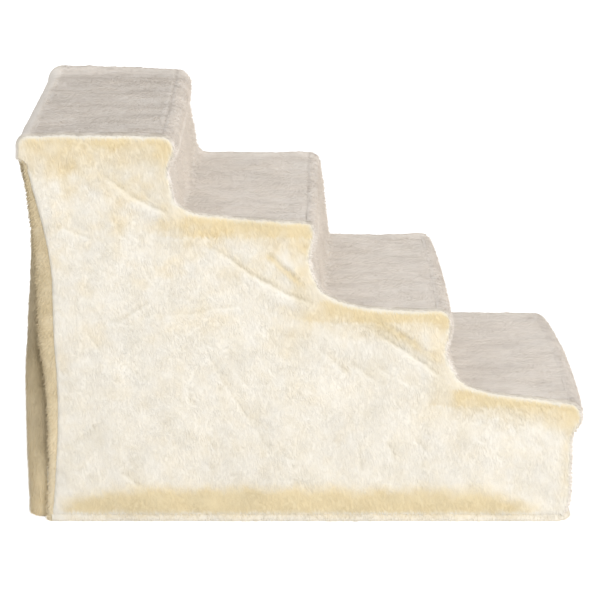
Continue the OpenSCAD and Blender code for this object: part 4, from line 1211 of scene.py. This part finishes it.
def pile_tree():
    """Tufts that stand on a surface, lean with the brushing and vary in length."""
    name = "pile_tufts"
    if name in bpy.data.node_groups:
        return bpy.data.node_groups[name]
    tree, given, output = tree_with_inputs(name, PILE_INPUTS)
    get = given.outputs
    density = add_node(tree, "ShaderNodeMath", {"operation": "POWER"}, {0: get["Spacing"], 1: -2.0})
    spread = add_node(tree, "GeometryNodeDistributePointsOnFaces", inputs={
        "Mesh": get["Geometry"], "Density": density.outputs[0], "Seed": get["Seed"]})
    patch_scale = add_node(tree, "ShaderNodeMath", {"operation": "DIVIDE"}, {0: 1.0, 1: get["Patch Size"]})
    patch = add_node(tree, "ShaderNodeTexNoise", {"noise_dimensions": "3D"}, {
        "Scale": patch_scale.outputs[0], "Detail": 1.0})
    centred = add_node(tree, "ShaderNodeVectorMath", {"operation": "SUBTRACT"}, {
        0: patch.outputs["Color"], 1: (0.5, 0.5, 0.5)})
    swirl = add_node(tree, "ShaderNodeVectorMath", {"operation": "SCALE"}, {
        0: centred.outputs[0], "Scale": get["Swirl"]})
    jitter = add_node(tree, "FunctionNodeRandomValue", {"data_type": "FLOAT_VECTOR"}, {
        0: (-1.0, -1.0, -1.0), 1: (1.0, 1.0, 1.0), "Seed": get["Seed"]})
    jitter_scaled = add_node(tree, "ShaderNodeVectorMath", {"operation": "SCALE"}, {
        0: jitter.outputs[0], "Scale": get["Ruffle"]})
    lie = add_node(tree, "ShaderNodeVectorMath", {"operation": "ADD"}, {0: get["Lie"], 1: swirl.outputs[0]})
    lean = add_node(tree, "ShaderNodeVectorMath", {"operation": "SCALE"}, {
        0: lie.outputs[0], "Scale": get["Lean"]})
    upright = add_node(tree, "ShaderNodeVectorMath", {"operation": "ADD"}, {
        0: spread.outputs["Normal"], 1: lean.outputs[0]})
    heading = add_node(tree, "ShaderNodeVectorMath", {"operation": "ADD"}, {
        0: upright.outputs[0], 1: jitter_scaled.outputs[0]})
    along_heading = add_node(tree, "FunctionNodeAlignRotationToVector", {"axis": "Z"}, {
        "Vector": heading.outputs[0]})
    away = add_node(tree, "ShaderNodeVectorMath", {"operation": "SCALE"}, {
        0: spread.outputs["Normal"], "Scale": -1.0})
    turned = add_node(tree, "FunctionNodeAlignRotationToVector", {"axis": "X", "pivot_axis": "Z"}, {
        "Rotation": along_heading.outputs["Rotation"], "Vector": away.outputs[0]})
    root = add_node(tree, "ShaderNodeMath", {"operation": "MULTIPLY"}, {0: get["Width"], 1: TUFT_ROOT})
    cone = add_node(tree, "GeometryNodeMeshCone", {"fill_type": "NGON"}, {
        "Vertices": 3, "Side Segments": 1, "Radius Top": 0.0, "Radius Bottom": root.outputs[0],
        "Depth": get["Length"]})
    position = add_node(tree, "GeometryNodeInputPosition")
    height = add_node(tree, "ShaderNodeSeparateXYZ", inputs={0: position.outputs[0]})
    share = add_node(tree, "ShaderNodeMath", {"operation": "DIVIDE"}, {
        0: height.outputs["Z"], 1: get["Length"]})
    marked = add_node(tree, "GeometryNodeStoreNamedAttribute", {"data_type": "FLOAT", "domain": "POINT"}, {
        "Geometry": cone.outputs["Mesh"], "Name": "along", "Value": share.outputs[0]})
    stature = add_node(tree, "FunctionNodeRandomValue", {"data_type": "FLOAT"}, {
        2: TUFT_LEAST, 3: TUFT_GREATEST, "Seed": get["Seed"]})
    proportions = add_node(tree, "ShaderNodeVectorMath", {"operation": "SCALE"}, {
        0: (TUFT_THICKNESS, 1.0, 1.0), "Scale": stature.outputs[1]})
    tufts = add_node(tree, "GeometryNodeInstanceOnPoints", inputs={
        "Points": spread.outputs["Points"], "Instance": marked.outputs["Geometry"],
        "Rotation": turned.outputs["Rotation"], "Scale": proportions.outputs[0]})
    real = add_node(tree, "GeometryNodeRealizeInstances", inputs={"Geometry": tufts.outputs["Instances"]})
    dressed = add_node(tree, "GeometryNodeSetMaterial", inputs={
        "Geometry": real.outputs["Geometry"], "Material": get["Material"]})
    tree.links.new(dressed.outputs["Geometry"], output.inputs["Geometry"])
    return tree


def run_tree(source, name, tree, values):
    """A new plain mesh piece: what a tree makes of a source piece."""
    piece = bpy.data.objects.new(name, source.data.copy())
    bpy.context.collection.objects.link(piece)
    modifier = piece.modifiers.new("made", "NODES")
    modifier.node_group = tree
    sockets = {item.name: item.identifier for item in tree.interface.items_tree if item.in_out == "INPUT"}
    for label, value in values.items():
        modifier[sockets[label]] = value
    return plain(piece)


def pile(source, name, material, lie, seed, length=1.0, lean=2.0, ruffle=0.3, swirl=0.6, patch=22.0):
    """The tufts on a sheet, none below the floor. length is a share of the usual one."""
    settings = bpy.context.scene.stair_pile
    piece = run_tree(source, name, pile_tree(), {
        "Spacing": settings.spacing, "Length": settings.length * length, "Width": settings.width,
        "Lie": lie, "Lean": lean, "Ruffle": ruffle, "Swirl": swirl, "Patch Size": patch * MM, "Seed": seed,
        "Material": material})
    map_tufts(piece)
    places = np.empty(len(piece.data.vertices) * 3, np.float32)
    piece.data.vertices.foreach_get("co", places)
    places[2::3] = np.maximum(places[2::3], 0.0)
    piece.data.vertices.foreach_set("co", places)
    return piece


# The face corners of a tuft: three sides of three corners, and its foot
TUFT_CORNERS = 12


def map_tufts(piece):
    """Lays each tuft in a square of its own on the piece's map."""
    mesh = piece.data
    loops = len(mesh.loops)
    side = math.ceil(math.sqrt(max(1, loops / TUFT_CORNERS)))
    tuft, corner = np.divmod(np.arange(loops), TUFT_CORNERS)
    heights = np.empty(len(mesh.vertices), np.float32)
    mesh.attributes["along"].data.foreach_get("value", heights)
    vertex = np.empty(loops, np.int32)
    mesh.loops.foreach_get("vertex_index", vertex)
    u, v = (corner % 3) / 2.0, heights[vertex]
    uv = np.column_stack(((tuft % side + 0.1 + 0.8 * u) / side, (tuft // side + 0.1 + 0.8 * v) / side))
    layer = mesh.uv_layers.new(name="OFBake")
    layer.uv.foreach_set("vector", uv.astype(np.float32).ravel())
    mesh.shade_flat()


# Pieces


def finish_sheet(piece, tufts, surface, replaced):
    """Gives a sheet its materials and its thickness, hides the nodes that it stands for, and gives the
    sheet and its pile their body."""
    piece.data.materials.append(surface)
    thicken(piece, bpy.data.materials["polyester_backing_knitted"])
    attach(piece, "stairs")
    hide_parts(*replaced)
    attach(tufts, "stairs")


class STAIRS_OT_materials(bpy.types.Operator):
    """Make the finishes and give the frame's mouldings, rails, pins and feet theirs"""

    bl_idname = "stairs.materials"
    bl_label = "Finishes"

    def execute(self, context):
        for name in PLUSH:
            surface_material(name, partial(plush, name))
        surface_material("polyester_backing_knitted", knitted_backing)
        by_slot = {slot: surface_material(*finish) for slot, finish in FRAME_FINISHES.items()}
        for part in frame["record"]["subparts"]:
            material = by_slot.get(part["material_slot"])
            if material is None:
                continue
            node = frame["nodes"][part["node"]]
            node.data.materials.clear()
            node.data.materials.append(material)
        return {"FINISHED"}


class STAIRS_OT_sides(bpy.types.Operator):
    """Make the two side panels of the cover and their pile"""

    bl_idname = "stairs.sides"
    bl_label = "Side panels"

    def execute(self, context):
        surface = bpy.data.materials["faux_fur_side_sheared"]
        for side, seed in (("near", 3), ("far", 8)):
            piece = side_cloth(f"side_panel_{side}", side == "near", seed)
            tufts = pile(piece, f"side_pile_{side}", surface, (0.25, 0.0, -0.8), seed, length=0.9, lean=5.0,
                         ruffle=0.22, swirl=0.32)
            finish_sheet(piece, tufts, surface, [f"side_fur_{side}"])
        return {"FINISHED"}


class STAIRS_OT_treads(bpy.types.Operator):
    """Make the strips of the cover over the treads and risers, and their pile"""

    bl_idname = "stairs.treads"
    bl_label = "Treads and risers"

    def execute(self, context):
        surface = bpy.data.materials["faux_fur_tread_brushed"]
        strips = [
            ("back_edge_strip", back_section, ["rear_band"], "tread_tray_4", 21, "riser_plush",
             (0.0, 0.1), (0.0, 0.05)),
            ("top_tread_strip", top_section, ["tread_fur_4"], "tread_tray_4", 22, "tread_plush",
             (0.1, SEAM_DEPTH[4]), (TOP_SHADE, TOP_SHADE)),
        ]
        for i in reversed(STEPS):
            replaced = [f"riser_fur_{i}"] + ([f"tread_fur_{i - 1}"] if i > 1 else [])
            seams = (SEAM_DEPTH[i], SEAM_DEPTH[i - 1] if i > 1 else 0.0)
            strips.append((
                f"step_strip_{i}", partial(riser_section, i), replaced, f"tread_tray_{max(i - 1, 1)}", 30 + i,
                "tread_plush", seams, (NOSE_SHADE, FOOT_SHADE)))
        for name, section_at, replaced, carrier, seed, slot, seams, shades in strips:
            piece = strip_cloth(name, section_at, seed, seams, shades)
            tufts = pile(piece, f"{name}_pile", surface, (0.9, -0.15, -0.25), seed, length=0.8, lean=2.8,
                         ruffle=0.25, swirl=0.4, patch=40.0)
            finish_sheet(piece, tufts, surface, replaced)
            length = float(distances(section_at(0.0))[-1]) * MM
        return {"FINISHED"}


class STAIRS_OT_hems(bpy.types.Operator):
    """Make the turned hems at the rear edges of the side panels and along the floor"""

    bl_idname = "stairs.hems"
    bl_label = "Hems"

    def execute(self, context):
        surface = bpy.data.materials["faux_fur_sheared_shade_painted"]
        for side, seed in (("near", 41), ("far", 42)):
            piece, length = rear_hem_cloth(f"rear_hem_cloth_{side}", side, seed)
            tufts = pile(piece, f"rear_hem_pile_{side}", surface, (-0.5, 0.0, -0.6), seed, length=0.8)
            finish_sheet(piece, tufts, surface, [f"rear_hem_{side}"])
        surface = bpy.data.materials["faux_fur_side_sheared"]
        piece, girth, length = base_hem_cloth("base_hem_cloth", 43)
        tufts = pile(piece, "base_hem_pile", surface, (0.1, 0.0, -0.8), 43, length=0.8)
        finish_sheet(piece, tufts, surface, [
            "base_hem_near", "base_hem_far", "base_hem_front"])
        return {"FINISHED"}


class STAIRS_OT_back_flap(bpy.types.Operator):
    """Make the flap that closes the back, with its returns inside the rear hems"""

    bl_idname = "stairs.back_flap"
    bl_label = "Back flap"

    def execute(self, context):
        surface = bpy.data.materials["faux_fur_sheared_shade_painted"]
        piece, girth, drop = flap_cloth("back_flap_cloth", 51)
        tufts = pile(piece, "back_flap_pile", surface, (0.0, 0.1, -0.9), 51)
        piece.data.materials.append(surface)
        thicken(piece, bpy.data.materials["polyester_backing_knitted"])
        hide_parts("back_flap")
        for each in (piece, tufts):
            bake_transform(each)
        return {"FINISHED"}


# The camera's sensor in mm and how far it sees in metres
SENSOR_W, CLIP_END = 36.0, 50.0
# Half of the floor's side in mm, and how much it glows to the camera
FLOOR_HALF, FLOOR_GLOW = 9000.0, 0.7
# The lamp's width and its distance from what it lights, in metres, and where that is
KEY_SIZE, KEY_DISTANCE = 2.4, 4.5
KEY_TARGET, KEY_TOWARD = Vector((0.05, 0.0, 0.25)), Vector((0.487, -0.81, 0.32))
WHITE = (1.0, 1.0, 1.0, 1.0)


class STAIRS_OT_stage(bpy.types.Operator):
    """Make the floor, the light and the camera"""

    bl_idname = "stairs.stage"
    bl_label = "Studio"

    def execute(self, context):
        studio = context.scene.stair_studio
        self.make_floor()
        self.make_light(context, studio)
        camera = bpy.data.objects.new("camera", bpy.data.cameras.new("camera"))
        camera.data.lens = studio.focal_length / MM
        camera.data.sensor_width = SENSOR_W
        camera.data.clip_end = CLIP_END
        camera.location = studio.camera_place
        camera.rotation_euler = (math.pi / 2.0 - studio.camera_pitch, 0.0, studio.camera_yaw)
        context.collection.objects.link(camera)
        context.scene.camera = camera
        context.scene.view_settings.view_transform = "Standard"
        return {"FINISHED"}

    def make_floor(self):
        """A large pale floor that shows white to the camera and keeps the object's shadow."""
        corners = [(FLOOR_HALF * x, FLOOR_HALF * y, 0.0) for x, y in ((-1, -1), (1, -1), (1, 1), (-1, 1))]
        floor = link_mesh("floor", corners, [(0, 1, 2, 3)])
        material, tree, output = new_material("painted_floor_matte")
        seen = add_node(tree, "ShaderNodeLightPath")
        colour = linear(bpy.context.scene.stair_finish.floor)
        matte = add_node(tree, "ShaderNodeBsdfDiffuse", inputs={"Color": colour})
        glow = add_node(tree, "ShaderNodeEmission", inputs={"Color": WHITE, "Strength": FLOOR_GLOW})
        both = add_node(tree, "ShaderNodeAddShader", inputs={0: matte.outputs[0], 1: glow.outputs[0]})
        shown = add_node(tree, "ShaderNodeMixShader", inputs={
            0: seen.outputs["Is Camera Ray"], 1: matte.outputs[0], 2: both.outputs[0]})
        tree.links.new(shown.outputs[0], output.inputs["Surface"])
        floor.data.materials.append(material)

    def make_light(self, context, studio):
        """An even white surround and one large soft lamp in front, to the right."""
        world = bpy.data.worlds.new("studio")
        world.use_nodes = True
        tree = world.node_tree
        tree.nodes.clear()
        output = tree.nodes.new("ShaderNodeOutputWorld")
        seen = add_node(tree, "ShaderNodeLightPath")
        sky, white = (
            add_node(tree, "ShaderNodeBackground", inputs={"Color": WHITE, "Strength": strength})
            for strength in (studio.sky_strength, 1.0))
        clear = seen.outputs["Is Camera Ray"]
        for ray in ("Is Glossy Ray", "Is Transmission Ray"):
            clear = add_node(tree, "ShaderNodeMath", {"operation": "MAXIMUM"}, {
                0: clear, 1: seen.outputs[ray]}).outputs[0]
        shown = add_node(tree, "ShaderNodeMixShader", inputs={
            0: clear, 1: sky.outputs[0], 2: white.outputs[0]})
        tree.links.new(shown.outputs[0], output.inputs["Surface"])
        context.scene.world = world
        lamp = bpy.data.lights.new("key", "AREA")
        lamp.shape = "DISK"
        lamp.size = KEY_SIZE
        lamp.energy = studio.key_strength
        key = bpy.data.objects.new("key", lamp)
        key.location = KEY_TARGET + KEY_DISTANCE * KEY_TOWARD
        key.rotation_euler = (KEY_TARGET - key.location).to_track_quat("-Z", "Y").to_euler()
        context.collection.objects.link(key)


class STAIRS_PT_panel(bpy.types.Panel):
    """Lists the stairs' operators in the sidebar"""

    bl_idname = "STAIRS_PT_panel"
    bl_label = "Pet stairs"
    bl_space_type = "VIEW_3D"
    bl_region_type = "UI"
    bl_category = "Pet stairs"

    def draw(self, context):
        for operator in OPERATORS:
            self.layout.operator(operator.bl_idname)


SETTINGS = (
    ("stair_cover", CoverSettings), ("stair_pile", PileSettings),
    ("stair_finish", FinishSettings), ("stair_studio", StudioSettings))
OPERATORS = (
    STAIRS_OT_materials, STAIRS_OT_treads, STAIRS_OT_sides,
    STAIRS_OT_hems, STAIRS_OT_back_flap, STAIRS_OT_stage)
CLASSES = tuple(group for _, group in SETTINGS) + OPERATORS + (STAIRS_PT_panel,)


def register():
    """Adds the classes and the settings."""
    for each in CLASSES:
        bpy.utils.register_class(each)
    for name, group in SETTINGS:
        setattr(bpy.types.Scene, name, PointerProperty(type=group))


def unregister():
    """Removes what register added."""
    for name, _ in SETTINGS:
        delattr(bpy.types.Scene, name)
    for each in reversed(CLASSES):
        bpy.utils.unregister_class(each)


def main():
    """Makes every piece."""
    register()
    bpy.ops.stairs.materials()
    bpy.ops.stairs.treads()
    bpy.ops.stairs.sides()
    bpy.ops.stairs.hems()
    bpy.ops.stairs.back_flap()
    bpy.ops.stairs.stage()


if __name__ == "__main__":
    main()
